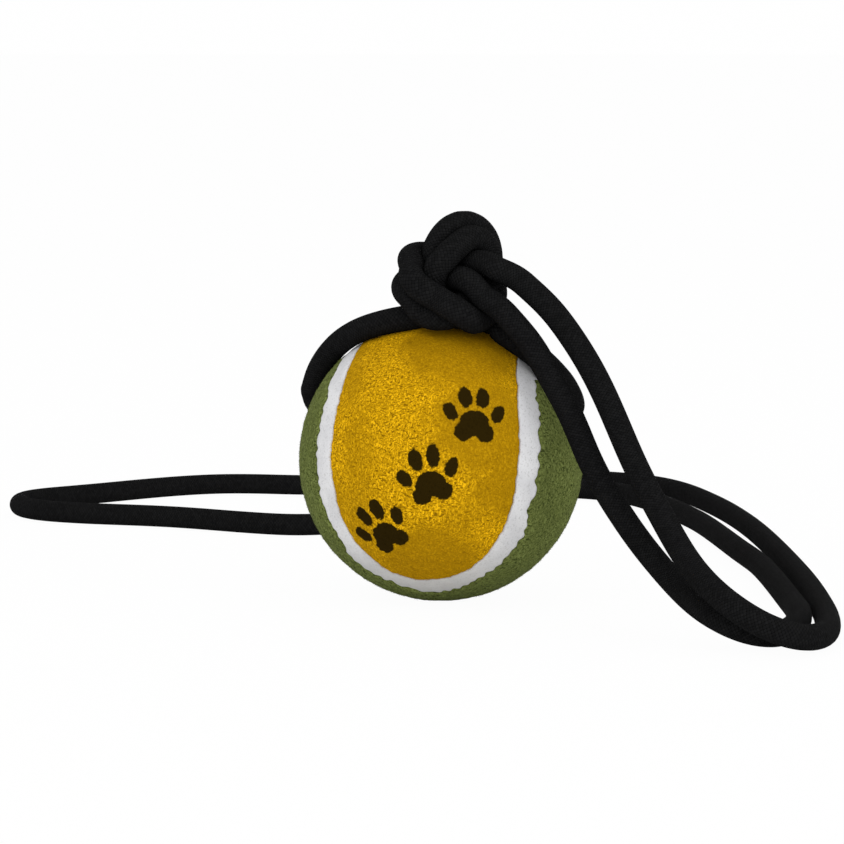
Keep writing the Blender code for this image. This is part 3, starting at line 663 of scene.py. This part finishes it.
def raggedness(t, reach, seed):
    """How far a cut edge strays sideways along the seam, in metres."""
    pick = np.random.default_rng(seed)
    stray = np.zeros_like(t)
    for _ in range(RAGGED_WAVES):
        turns = pick.integers(*RAGGED_TURNS)
        finer = RAGGED_COARSE / (turns + RAGGED_COARSE - RAGGED_TURNS[0])
        share = pick.uniform(*RAGGED_HEIGHTS) * finer ** RAGGED_FALL
        stray += share * np.sin(turns * t + pick.uniform(0, math.tau))
    return stray * reach / RAGGED_SPREAD


def lumps(places, seed):
    """A slight unevenness over the felt, in metres."""
    pick = np.random.default_rng(seed)
    height = np.zeros(len(places))
    for _ in range(LUMP_WAVES):
        heading = pick.normal(size=3)
        heading *= math.tau / pick.uniform(*LUMP_SPANS) / np.linalg.norm(heading)
        height += np.sin(places @ heading + pick.uniform(0, math.tau))
    return height * LUMP_HEIGHT / math.sqrt(LUMP_WAVES / 2)


def felt_edge(t, side, reach, seed):
    """The ragged edge of one felt, as directions from the ball's centre."""
    apart = SEAM_WIDTH / 2 + BONDED_GAP + raggedness(t, reach, seed)
    return seam_edge(t, side * apart / BALL_RADIUS) @ BALL_TURN.T


def closed_mesh(name, corners, faces, merged=False):
    """A smooth mesh whose faces all point out, with doubled points merged if wanted."""
    mesh = bpy.data.meshes.new(name)
    mesh.from_pydata(corners, [], faces)
    work = bmesh.new()
    work.from_mesh(mesh)
    if merged:
        bmesh.ops.remove_doubles(work, verts=work.verts, dist=MERGE_REACH)
        bmesh.ops.dissolve_degenerate(work, edges=work.edges, dist=LEAST_EDGE)
    bmesh.ops.recalc_face_normals(work, faces=work.faces)
    work.to_mesh(mesh)
    work.free()
    mesh.shade_smooth()
    return mesh


def felt_panel(name, lobe_start, side, reach, seed):
    """A closed panel of felt with rounded edges, and its outer surface as a grid of points."""
    s = np.linspace(0, 1, ROWS + 1)
    s = math.pi * (s - np.sin(math.tau * s) / math.tau * ROW_CROWDING)
    first = felt_edge(lobe_start + s, side, reach, seed)
    last = felt_edge(lobe_start - s, side, reach, seed)
    whole = np.arccos(np.clip((first * last).sum(axis=1), -1, 1))[:, None]
    across = np.linspace(-1, 1, PLACES + 1)
    crowded = np.sign(across) * (1 - (1 - np.abs(across)) ** EDGE_CROWDING)
    share = ((crowded + 1) / 2)[None, :]
    whole = np.maximum(whole, SLIGHT_ANGLE)
    first_share = np.sin((1 - share) * whole) / np.sin(whole)
    last_share = np.sin(share * whole) / np.sin(whole)
    grid = first[:, None] * first_share[..., None] + last[:, None] * last_share[..., None]
    grid /= np.linalg.norm(grid, axis=2, keepdims=True)

    edge = np.vstack([first, last[::-1]])
    flat = grid.reshape(-1, 3)
    from_edge = np.empty(len(flat))
    for low in range(0, len(flat), MEASURED_AT_ONCE):
        high = low + MEASURED_AT_ONCE
        facing = flat[low:high] @ edge.T
        from_edge[low:high] = np.arccos(np.clip(facing.max(axis=1), -1, 1)) * BALL_RADIUS
    inside = np.clip(from_edge / EDGE_ROUNDING, 0, 1)
    drop = EDGE_ROUNDING * (1 - np.sqrt(1 - (1 - inside) ** 2))
    lumpy = lumps(flat * BALL_RADIUS, seed + 1) * inside
    outer = flat * (BALL_RADIUS - drop + lumpy - LUMP_HEIGHT)[:, None] + np.array(BALL_CENTRE)
    inner = flat * (BALL_RADIUS - FELT_THICKNESS) + np.array(BALL_CENTRE)
    outer[:, 2] = np.maximum(outer[:, 2], 0)

    count, width = len(flat), PLACES + 1
    faces = grid_faces(ROWS + 1, width)
    rims = []
    for column in (0, PLACES):
        down = np.arange(ROWS) * width + column
        rim = np.stack([down, down + width, down + width + count, down + count], axis=1)
        rims.append(rim if column == 0 else rim[:, ::-1])
    faces = np.vstack([faces, faces[:, ::-1] + count, *rims]).tolist()
    mesh = closed_mesh(name, np.vstack([outer, inner]), faces, merged=True)
    return new_piece(name, mesh), outer.reshape(ROWS + 1, width, 3)


def bore_tool():
    """The solid that opens the rope's bore and rounds its two mouths."""
    steps = np.linspace(0, math.tau / 4, MOUTH_STEPS)
    flare = BORE_RADIUS + MOUTH_ROUNDING * (1 - np.cos(steps))
    height = MOUTH_REACH + MOUTH_ROUNDING * (np.sin(steps) - MOUTH_SETBACK_SHARE)
    profile = list(zip(flare, height))
    profile.append((profile[-1][0], MOUTH_REACH + ROPE_DIAMETER))
    profile = [(a, -h) for a, h in reversed(profile)] + profile
    turns = np.linspace(0, math.tau, MOUTH_SEGMENTS, endpoint=False)
    up = np.array((0, 0, 1.0))
    ring = np.cos(turns)[:, None] * np.array(ACROSS_BORE) + np.sin(turns)[:, None] * up
    middle = np.array(BORE_MIDDLE + BALL_CENTRE)
    corners = np.vstack([middle + np.array(ALONG_BORE) * h + ring * a for a, h in profile])
    faces = tube_faces(len(profile), MOUTH_SEGMENTS)
    return new_piece("bore_tool", closed_mesh("bore_tool", corners, faces))


def loose_fibres(grid, seed):
    """Corners and faces of short closed spikes that lean over the felt's surface."""
    pick = np.random.default_rng(seed)
    one, two, three = grid[:-1, :-1], grid[1:, :-1], grid[:-1, 1:]
    area = np.linalg.norm(np.cross(two - one, three - one), axis=2).ravel()
    chosen = pick.choice(len(area), FIBRES, p=area / area.sum())
    along, beside = pick.random((FIBRES, 1)), pick.random((FIBRES, 1))
    one, two, three = [corner.reshape(-1, 3)[chosen] for corner in (one, two, three)]
    root = one + (two - one) * along + (three - one) * beside
    off_mouth = from_bore(root)[:, 0] > BORE_RADIUS + MOUTH_ROUNDING
    root = root[off_mouth & (root[:, 2] > FIBRES_ABOVE)]
    outward = root - np.array(BALL_CENTRE)
    outward /= np.linalg.norm(outward, axis=1)[:, None]
    sideways = np.cross(outward, pick.normal(size=root.shape))
    sideways /= np.linalg.norm(sideways, axis=1)[:, None]
    third = np.cross(outward, sideways)
    lean = pick.uniform(*FIBRE_LEAN, (len(root), 1))
    length = pick.uniform(*FIBRE_LENGTHS, (len(root), 1))
    tip = root + (outward * np.cos(lean) + sideways * np.sin(lean)) * length
    corners = [root - outward * FIBRE_THICKNESS + (third * math.cos(turn) + outward * math.sin(turn))
               * FIBRE_THICKNESS / 2 for turn in (0, math.tau / 3, math.tau * 2 / 3)]
    corners = np.stack(corners + [tip], axis=1).reshape(-1, 3)
    start = np.arange(len(root))[:, None] * 4
    sides = ((0, 2, 1), (0, 1, 3), (1, 2, 3), (2, 0, 3))
    faces = np.concatenate([start + side for side in sides])
    return corners, faces


def with_fibres(piece, grid, seed):
    """Joins the loose fibres to the felt's mesh."""
    corners, faces = loose_fibres(grid, seed)
    own = [tuple(corner.co) for corner in piece.data.vertices]
    own_faces = [tuple(face.vertices) for face in piece.data.polygons]
    whole = bpy.data.meshes.new(piece.name)
    whole.from_pydata(np.vstack([own, corners]), [], own_faces + (faces + len(own)).tolist())
    whole.shade_smooth()
    piece.data = whole


def vectors(tree, operation, *values, **more):
    """One sum on vectors: its vector comes out first, and its number second."""
    inputs = {**dict(enumerate(values)), **more}
    return place(tree, "ShaderNodeVectorMath", inputs, operation=operation).outputs


CURL_SCALE = 500.0
CURL_REACH = 0.0012
PATCH_SCALE = 75.0
PATCH_ROUGHNESS = 0.55
NAP_SCALE = 3800.0
# Worn places lose flecks and turn towards the deep tone; on the gold some of this darkening is painted
# shade
WORN_AND_SHADE_FLECKS_LOST = 0.5
WORN_AND_SHADE_DARKNESS = 0.47
FELT_ROUGHNESS = (0.88, 0.98)


def felt_group():
    """Flecked, napped felt: its colour, how rough it is and its height."""
    group, given, out = new_group(
        "felt_nap",
        [("Spot", 'Vector'), ("Pale", 'Color'), ("Middle", 'Color'), ("Deep", 'Color'),
         ("Patches", 'Float'), ("Fleck Scale", 'Float'), ("Worn", 'Float', 0.0)],
        [("Color", 'Color'), ("Height", 'Float'), ("Rough", 'Float')])
    spot = given["Spot"]
    curl = noise(group, spot, CURL_SCALE, 1.0)[1]
    either_way = vectors(group, 'SUBTRACT', curl, (0.5, 0.5, 0.5))[0]
    shift = vectors(group, 'SCALE', either_way, Scale=CURL_REACH)[0]
    curled = vectors(group, 'ADD', spot, shift)[0]
    lean = place(group, "ShaderNodeMapping", {0: curled, 2: (0.3, 0.6, 0.4), 3: (1.0, 1.0, 0.45)})
    cross = place(group, "ShaderNodeMapping", {0: curled, 2: (-0.5, 0.2, -0.7), 3: (0.5, 1.0, 1.0)})
    one = noise(group, lean.outputs[0], given["Fleck Scale"], 3.0)[0]
    two = noise(group, cross.outputs[0], given["Fleck Scale"], 3.0)[0]
    patch = noise(group, spot, PATCH_SCALE, 3.0, PATCH_ROUGHNESS)[0]
    uneven = maths(group, 'MULTIPLY', stepped(group, patch, 0.46, 0.64), given["Patches"])
    worn_and_shaded_nap = maths(group, 'MAXIMUM', uneven, given["Worn"])
    strength = maths(group, 'MULTIPLY_ADD', worn_and_shaded_nap, -WORN_AND_SHADE_FLECKS_LOST, 1.0)
    pale = maths(group, 'MULTIPLY', stepped(group, one, 0.48, 0.62), strength)
    deep = maths(group, 'MULTIPLY', stepped(group, two, 0.50, 0.64), strength)
    lit = mixed_colour(group, pale, given["Middle"], given["Pale"])
    dark = mixed_colour(group, deep, lit, given["Deep"])
    # Darker where worn; on the gold this darkening is partly painted shade
    smooth = mixed_colour(group, maths(group, 'MULTIPLY', worn_and_shaded_nap, WORN_AND_SHADE_DARKNESS), dark, given["Deep"])
    group.links.new(smooth, out["Color"])
    fine = noise(group, curled, NAP_SCALE, 2.0)[0]
    height = maths(group, 'MULTIPLY_ADD', one, 0.6, maths(group, 'MULTIPLY', fine, 0.4))
    group.links.new(height, out["Height"])
    group.links.new(stepped(group, fine, 0.3, 0.7, *FELT_ROUGHNESS), out["Rough"])
    return group


PRINT_SIZE = 0.0135
PRINT_RAGGED_SCALE = 1100.0
PRINT_RAGGEDNESS = 0.07
PRINT_SOFT_EDGE = 0.012
PRINT_SIDE_SHARES = (0.5, 0.6)

# The blots that make a printed paw: middle across and up, half its width and height, and its
# turn. The first three are the pad, and the rest the toes.
PAW_BLOTS = (
    (0.0, -0.12, 0.25, 0.21, 0.0), (-0.17, -0.27, 0.16, 0.15, 0.3), (0.17, -0.27, 0.16, 0.15, -0.3),
    (-0.39, 0.06, 0.105, 0.165, 0.45), (-0.145, 0.31, 0.115, 0.185, 0.12),
    (0.145, 0.31, 0.115, 0.185, -0.12), (0.39, 0.06, 0.105, 0.165, -0.45))


def paw_group():
    """One printed paw: a broad pad and four toes, on a plane that touches the ball."""
    ways = ("Facing", "Across", "Up")
    group, given, out = new_group(
        "printed_paw", [("Spot", 'Vector'), *[(way, 'Vector') for way in ways]], [("Mask", 'Float')])
    forward, across, up = [
        vectors(group, 'DOT_PRODUCT', given["Spot"], given[way])[1] for way in ways]
    across = maths(group, 'DIVIDE', across, PRINT_SIZE)
    up = maths(group, 'DIVIDE', up, PRINT_SIZE)
    nearest = None
    for middle_x, middle_y, wide, tall, turn in PAW_BLOTS:
        cosine, sine = math.cos(turn), math.sin(turn)
        x = maths(group, 'SUBTRACT', across, middle_x)
        y = maths(group, 'SUBTRACT', up, middle_y)
        turned_x = maths(group, 'MULTIPLY_ADD', x, cosine, maths(group, 'MULTIPLY', y, sine))
        turned_y = maths(group, 'MULTIPLY_ADD', y, cosine, maths(group, 'MULTIPLY', x, -sine))
        wide_share = maths(group, 'POWER', maths(group, 'DIVIDE', turned_x, wide), 2.0)
        tall_share = maths(group, 'POWER', maths(group, 'DIVIDE', turned_y, tall), 2.0)
        far = maths(group, 'SQRT', maths(group, 'ADD', wide_share, tall_share))
        outside = maths(group, 'MULTIPLY', maths(group, 'SUBTRACT', far, 1.0), min(wide, tall))
        nearest = outside if nearest is None else maths(group, 'MINIMUM', nearest, outside)
    ragged = noise(group, given["Spot"], PRINT_RAGGED_SCALE, 2.0)[0]
    ragged = maths(group, 'SUBTRACT', ragged, 0.5)
    edge = maths(group, 'MULTIPLY_ADD', ragged, PRINT_RAGGEDNESS, nearest)
    inked = stepped(group, edge, -PRINT_SOFT_EDGE, PRINT_SOFT_EDGE, 1.0, 0.0)
    near_side = stepped(group, forward, *[BALL_RADIUS * share for share in PRINT_SIDE_SHARES])
    group.links.new(maths(group, 'MULTIPLY', inked, near_side), out["Mask"])
    return group


FELT_SHINE = 0.03
FELT_BUMP = 0.5
NAP_HEIGHT = 0.0002


def felt_material(name, pale, middle, deep, patches, fleck_scale):
    """A felt's material, with its colour still to be joined to its shader."""
    material, tree, shader, spot = new_material(name)
    nap = place(tree, "ShaderNodeGroup", {
        "Spot": spot, "Pale": pale, "Middle": middle, "Deep": deep, "Patches": patches,
        "Fleck Scale": fleck_scale}, node_tree=felt)
    surface(tree, shader, {"Roughness": nap.outputs["Rough"], "Specular IOR Level": FELT_SHINE},
            nap.outputs["Height"], FELT_BUMP, NAP_HEIGHT)
    return material, tree, shader, spot, nap


# Where the gold is drawn darker, with fainter flecks: partly nap rubbed smooth and partly painted shade
# on the ball's right side. Each is a place on the ball, and how far round it
GOLD_WORN_AND_SHADED = (
    (0.0032, -0.0169, 0.0585, 0.015), (0.0099, -0.0286, 0.0418, 0.014),
    (0.0150, -0.0270, 0.0300, 0.011), (-0.0025, -0.0250, 0.0117, 0.013))
WORN_AND_SHADE_SCALE = 160.0
WORN_AND_SHADE_STRAY = 0.009
WORN_AND_SHADE_CORE_SHARE = 0.6


def worn_and_shaded_places(tree, spot, places):
    """How much wear and painted shade the nap has near each of these places, (x, y, z, reach) in metres.
    """
    stray = noise(tree, spot, WORN_AND_SHADE_SCALE, 2.0)[0]
    stray = maths(tree, 'MULTIPLY_ADD', stray, WORN_AND_SHADE_STRAY, -WORN_AND_SHADE_STRAY / 2)
    worn_and_shaded_near = 0.0
    for x, y, z, reach in places:
        away = vectors(tree, 'DISTANCE', spot, (x, y, z))[1]
        near = stepped(tree, maths(tree, 'ADD', away, stray), reach * WORN_AND_SHADE_CORE_SHARE, reach, 1.0, 0.0)
        worn_and_shaded_near = maths(tree, 'MAXIMUM', worn_and_shaded_near, near)
    return worn_and_shaded_near


felt = felt_group()
gold_felt, gold_grid = felt_panel("gold_felt_panel", GOLD_LOBE, -1, GOLD_RAGGEDNESS, GOLD_SEED)
green_felt, green_grid = felt_panel("green_felt_panel", GREEN_LOBE, 1, GREEN_RAGGEDNESS, GREEN_SEED)

# Both mouths of the bore open in the green felt
tool = bore_tool()
bore_cut = green_felt.modifiers.new("rope_bore", 'BOOLEAN')
bore_cut.operation = 'DIFFERENCE'
bore_cut.solver = 'EXACT'
bore_cut.object = tool
shown = green_felt.evaluated_get(bpy.context.evaluated_depsgraph_get())
green_felt.data = bpy.data.meshes.new_from_object(shown)
green_felt.modifiers.clear()
bpy.data.objects.remove(tool, do_unlink=True)
with_fibres(gold_felt, gold_grid, FIBRE_SEEDS[0])
with_fibres(green_felt, green_grid, FIBRE_SEEDS[1])

# Each dye's pale, middle and deep tones
GOLD_DYES = ((0.88, 0.49, 0.007, 1), (0.49, 0.262, 0.002, 1), (0.20, 0.102, 0.001, 1))
GREEN_DYES = ((0.190, 0.228, 0.066, 1), (0.116, 0.141, 0.037, 1), (0.034, 0.044, 0.010, 1))
GOLD_PATCHES, GREEN_PATCHES = 0.6, 0.3
GOLD_FLECK_SCALE, GREEN_FLECK_SCALE = 3000.0, 2600.0

# Three plain paws are printed in dark brown on the gold, on a rising line. Each place is how
# far right and up it faces, as shares of the ball's radius, and its turn.
PRINT_BROWN = (0.019, 0.011, 0.001, 1)
PAW_PLACES = ((-0.41, -0.36, 0.55), (-0.09, 0.02, 0.25), (0.22, 0.42, -0.10))

gold_dye, tree, shader, spot, nap = felt_material(
    "gold_felt_nap", *GOLD_DYES, GOLD_PATCHES, GOLD_FLECK_SCALE)
# The gold's darker places are partly rubbed nap and partly painted shade
tree.links.new(worn_and_shaded_places(tree, spot, GOLD_WORN_AND_SHADED), nap.inputs["Worn"])
colour = nap.outputs["Color"]
paw = paw_group()
from_centre = vectors(tree, 'SUBTRACT', spot, tuple(BALL_CENTRE))[0]
for right, rise, turn in PAW_PLACES:
    facing = Vector((right, -math.sqrt(1 - right ** 2 - rise ** 2), rise))
    level = Vector((0, 0, 1)).cross(facing).normalized()
    upright = facing.cross(level)
    across = level * math.cos(turn) + upright * math.sin(turn)
    up = upright * math.cos(turn) - level * math.sin(turn)
    printed = place(tree, "ShaderNodeGroup", {
        "Spot": from_centre, "Facing": facing, "Across": across, "Up": up}, node_tree=paw)
    colour = mixed_colour(tree, printed.outputs["Mask"], colour, PRINT_BROWN)
tree.links.new(colour, shader.inputs["Base Color"])
gold_felt.data.materials.append(gold_dye)

green_dye, tree, shader, spot, nap = felt_material(
    "green_felt_nap", *GREEN_DYES, GREEN_PATCHES, GREEN_FLECK_SCALE)
tree.links.new(nap.outputs["Color"], shader.inputs["Base Color"])
green_felt.data.materials.append(green_dye)
for piece, stood_for in ((gold_felt, "gold_felt"), (green_felt, "green_felt")):
    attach(piece, "ball")
    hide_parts(stood_for)


# The white seam
# A band of white rubber is poured between the two felts' edges and moulded a little lower
# than the nap. It follows both ragged edges and has a fine grain.
BAND_STEPS = 880
BAND_PLACES = 14
BAND_INNER_PLACES = 4
SEAM_RECESS = 0.0002
BAND_CROWN = 0.00010
BAND_OVERLAP = 0.0002
BAND_SEED = 5
BAND_LUMP_SHARE = 0.5


def band_line(t, share):
    """Directions along the band, this share of the way from its middle to an edge."""
    reach, seed = (GOLD_RAGGEDNESS, GOLD_SEED) if share < 0 else (GREEN_RAGGEDNESS, GREEN_SEED)
    edge = SEAM_WIDTH / 2 + raggedness(t, reach, seed) + BAND_OVERLAP
    return seam_edge(t, share * edge / BALL_RADIUS) @ BALL_TURN.T


def seam_band(name):
    """One closed band from edge to edge, slightly crowned, with a flat inner side."""
    t = np.linspace(0, math.tau, BAND_STEPS, endpoint=False)
    rings = []
    for share in np.linspace(-1, 1, BAND_PLACES + 1):
        direction = band_line(t, share)
        height = BALL_RADIUS - SEAM_RECESS - BAND_CROWN * share ** 2
        height = height + lumps(direction * BALL_RADIUS, BAND_SEED) * BAND_LUMP_SHARE
        rings.append(direction * height[:, None])
    for share in np.linspace(1, -1, BAND_INNER_PLACES + 1):
        rings.append(band_line(t, share) * (BALL_RADIUS - FELT_THICKNESS))
    corners = np.stack(rings, axis=1).reshape(-1, 3) + np.array(BALL_CENTRE)
    corners[:, 2] = np.maximum(corners[:, 2], 0)
    faces = grid_faces(BAND_STEPS, len(rings), closed_rows=True, closed_columns=True).tolist()
    return new_piece(name, closed_mesh(name, corners, faces))


SEAM_WHITES = ((0.70, 0.70, 0.71, 1), (0.62, 0.62, 0.635, 1))
SEAM_GRAIN = (0.42, 0.42, 0.42, 1)
# Painted shade: below these heights the band is drawn greyer, towards the floor
SEAM_LOW_SHADE = (0.40, 0.395, 0.38, 1)
LOW_SHADE_HEIGHTS = (0.005, 0.018)
SPECK_SCALE = 2400.0
CLOUD_SCALE = 160.0
GRAIN_SHARE = 0.55
LOW_SHADE_SHARE = 0.5
SEAM_ROUGHNESS = (0.62, 0.78)
SEAM_SHINE = 0.25
SEAM_BUMP = 0.35
GRAIN_HEIGHT = 0.0001


def seam_material():
    """White rubber, cloudy and finely grained, with painted shade that makes it greyer near the floor.
    """
    material, tree, shader, spot = new_material("white_seam_rubber")
    speck = noise(tree, spot, SPECK_SCALE, 2.0)[0]
    cloud = noise(tree, spot, CLOUD_SCALE, 3.0)[0]
    clean = mixed_colour(tree, stepped(tree, cloud, 0.35, 0.65), *SEAM_WHITES)
    grain = stepped(tree, speck, 0.52, 0.70, 0.0, GRAIN_SHARE)
    height = place(tree, "ShaderNodeSeparateXYZ", {0: spot}).outputs["Z"]
    # Painted shade greys the band towards the floor
    low_shade = stepped(tree, height, *LOW_SHADE_HEIGHTS, LOW_SHADE_SHARE, 0.0)
    low_shaded = mixed_colour(tree, low_shade, mixed_colour(tree, grain, clean, SEAM_GRAIN), SEAM_LOW_SHADE)
    rough = stepped(tree, cloud, 0.3, 0.7, *SEAM_ROUGHNESS)
    surface(tree, shader, {
        "Base Color": low_shaded, "Roughness": rough, "Specular IOR Level": SEAM_SHINE},
            speck, SEAM_BUMP, GRAIN_HEIGHT)
    return material


seam = seam_band("white_seam_band")
seam.data.materials.append(seam_material())
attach(seam, "ball")
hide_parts("seam_line")


# The two rubber cups
# The hollow core is moulded as two hemispheres of dark rubber, buffed rough for the glue and
# pressed together rim to rim. They show only inside the two mouths of the bore.
CORE_DARKS = ((0.055, 0.050, 0.045, 1), (0.115, 0.105, 0.095, 1))
BUFFING_SCALE = 700.0
BUFFING_HEIGHT = 0.0002
CORE_BUMP = 0.4
CORE_ROUGHNESS = (0.65, 0.85)


def core_material():
    """Dark rubber with a buffed, dull skin."""
    material, tree, shader, spot = new_material("moulded_core_rubber")
    buffing = noise(tree, spot, BUFFING_SCALE, 4.0)[0]
    dull = mixed_colour(tree, buffing, *CORE_DARKS)
    rough = stepped(tree, buffing, 0.3, 0.7, *CORE_ROUGHNESS)
    surface(tree, shader, {"Base Color": dull, "Roughness": rough},
            buffing, CORE_BUMP, BUFFING_HEIGHT)
    return material


core_rubber = core_material()
for node in ("core_half_left", "core_half_right"):
    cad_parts[node].material_slots[0].material = core_rubber


# The floor and the light
# A plain white floor under an even white studio sky, with a broad soft lamp in front on each
# side and a weaker one between them. What the camera sees directly is white; the shadow stays.
FLOOR_REACH = 80.0
FLOOR_DROP = 0.00002
FLOOR_WHITE = (0.90, 0.90, 0.90, 1)
SKY_STRENGTH = 0.78
SKY_SEEN = 0.997
WHITE_SHARE = 0.965
LAMP_SIZE = 0.9
LAMPS_AIM = Vector((0, 0, 0.03))
LAMPS = (
    ("left_lamp", (-0.75, -0.85, 0.95), 3.8),
    ("right_lamp", (1.15, -0.60, 0.40), 4.9),
    ("front_lamp", (0.10, -1.15, 0.45), 3.1))


def seen_directly(tree):
    """1 for what the camera sees, also by a reflection or through glass, and 0 for light."""
    path = place(tree, "ShaderNodeLightPath").outputs
    seen = maths(tree, 'ADD', path["Is Camera Ray"], path["Is Glossy Ray"])
    seen = maths(tree, 'ADD', seen, path["Is Transmission Ray"])
    return maths(tree, 'MINIMUM', seen, 1.0)


corners = ((-1, -1), (1, -1), (1, 1), (-1, 1))
floor_mesh = bpy.data.meshes.new("studio_floor")
floor_mesh.from_pydata([(x * FLOOR_REACH, y * FLOOR_REACH, -FLOOR_DROP) for x, y in corners],
                       [], [(0, 1, 2, 3)])
floor = new_piece("studio_floor", floor_mesh)

floor_paint = bpy.data.materials.new("floor_white")
floor_paint.use_nodes = True
tree = floor_paint.node_tree
tree.nodes.clear()
white = maths(tree, 'MULTIPLY', seen_directly(tree), WHITE_SHARE)
matt = place(tree, "ShaderNodeBsdfDiffuse", {"Color": FLOOR_WHITE})
glow = place(tree, "ShaderNodeEmission", {"Color": (1, 1, 1, 1), "Strength": 1.0})
mixed = place(tree, "ShaderNodeMixShader", {0: white, 1: matt.outputs[0], 2: glow.outputs[0]})
place(tree, "ShaderNodeOutputMaterial", {"Surface": mixed.outputs[0]})
floor_mesh.materials.append(floor_paint)

world = bpy.data.worlds.new("studio_sky")
bpy.context.scene.world = world
world.use_nodes = True
tree = world.node_tree
tree.nodes.clear()
strength = maths(tree, 'MULTIPLY_ADD', seen_directly(tree), SKY_SEEN - SKY_STRENGTH, SKY_STRENGTH)
sky = place(tree, "ShaderNodeBackground", {"Color": (1, 1, 1, 1), "Strength": strength})
place(tree, "ShaderNodeOutputWorld", {"Surface": sky.outputs[0]})

for name, spot, watts in LAMPS:
    lamp_data = bpy.data.lights.new(name, 'AREA')
    lamp_data.shape = 'RECTANGLE'
    lamp_data.size = LAMP_SIZE
    lamp_data.size_y = LAMP_SIZE
    lamp_data.energy = watts
    lamp = bpy.data.objects.new(name, lamp_data)
    lamp.location = spot
    lamp.rotation_euler = (LAMPS_AIM - lamp.location).to_track_quat('-Z', 'Y').to_euler()
    bpy.context.scene.collection.objects.link(lamp)
bpy.context.scene.view_settings.view_transform = 'Standard'
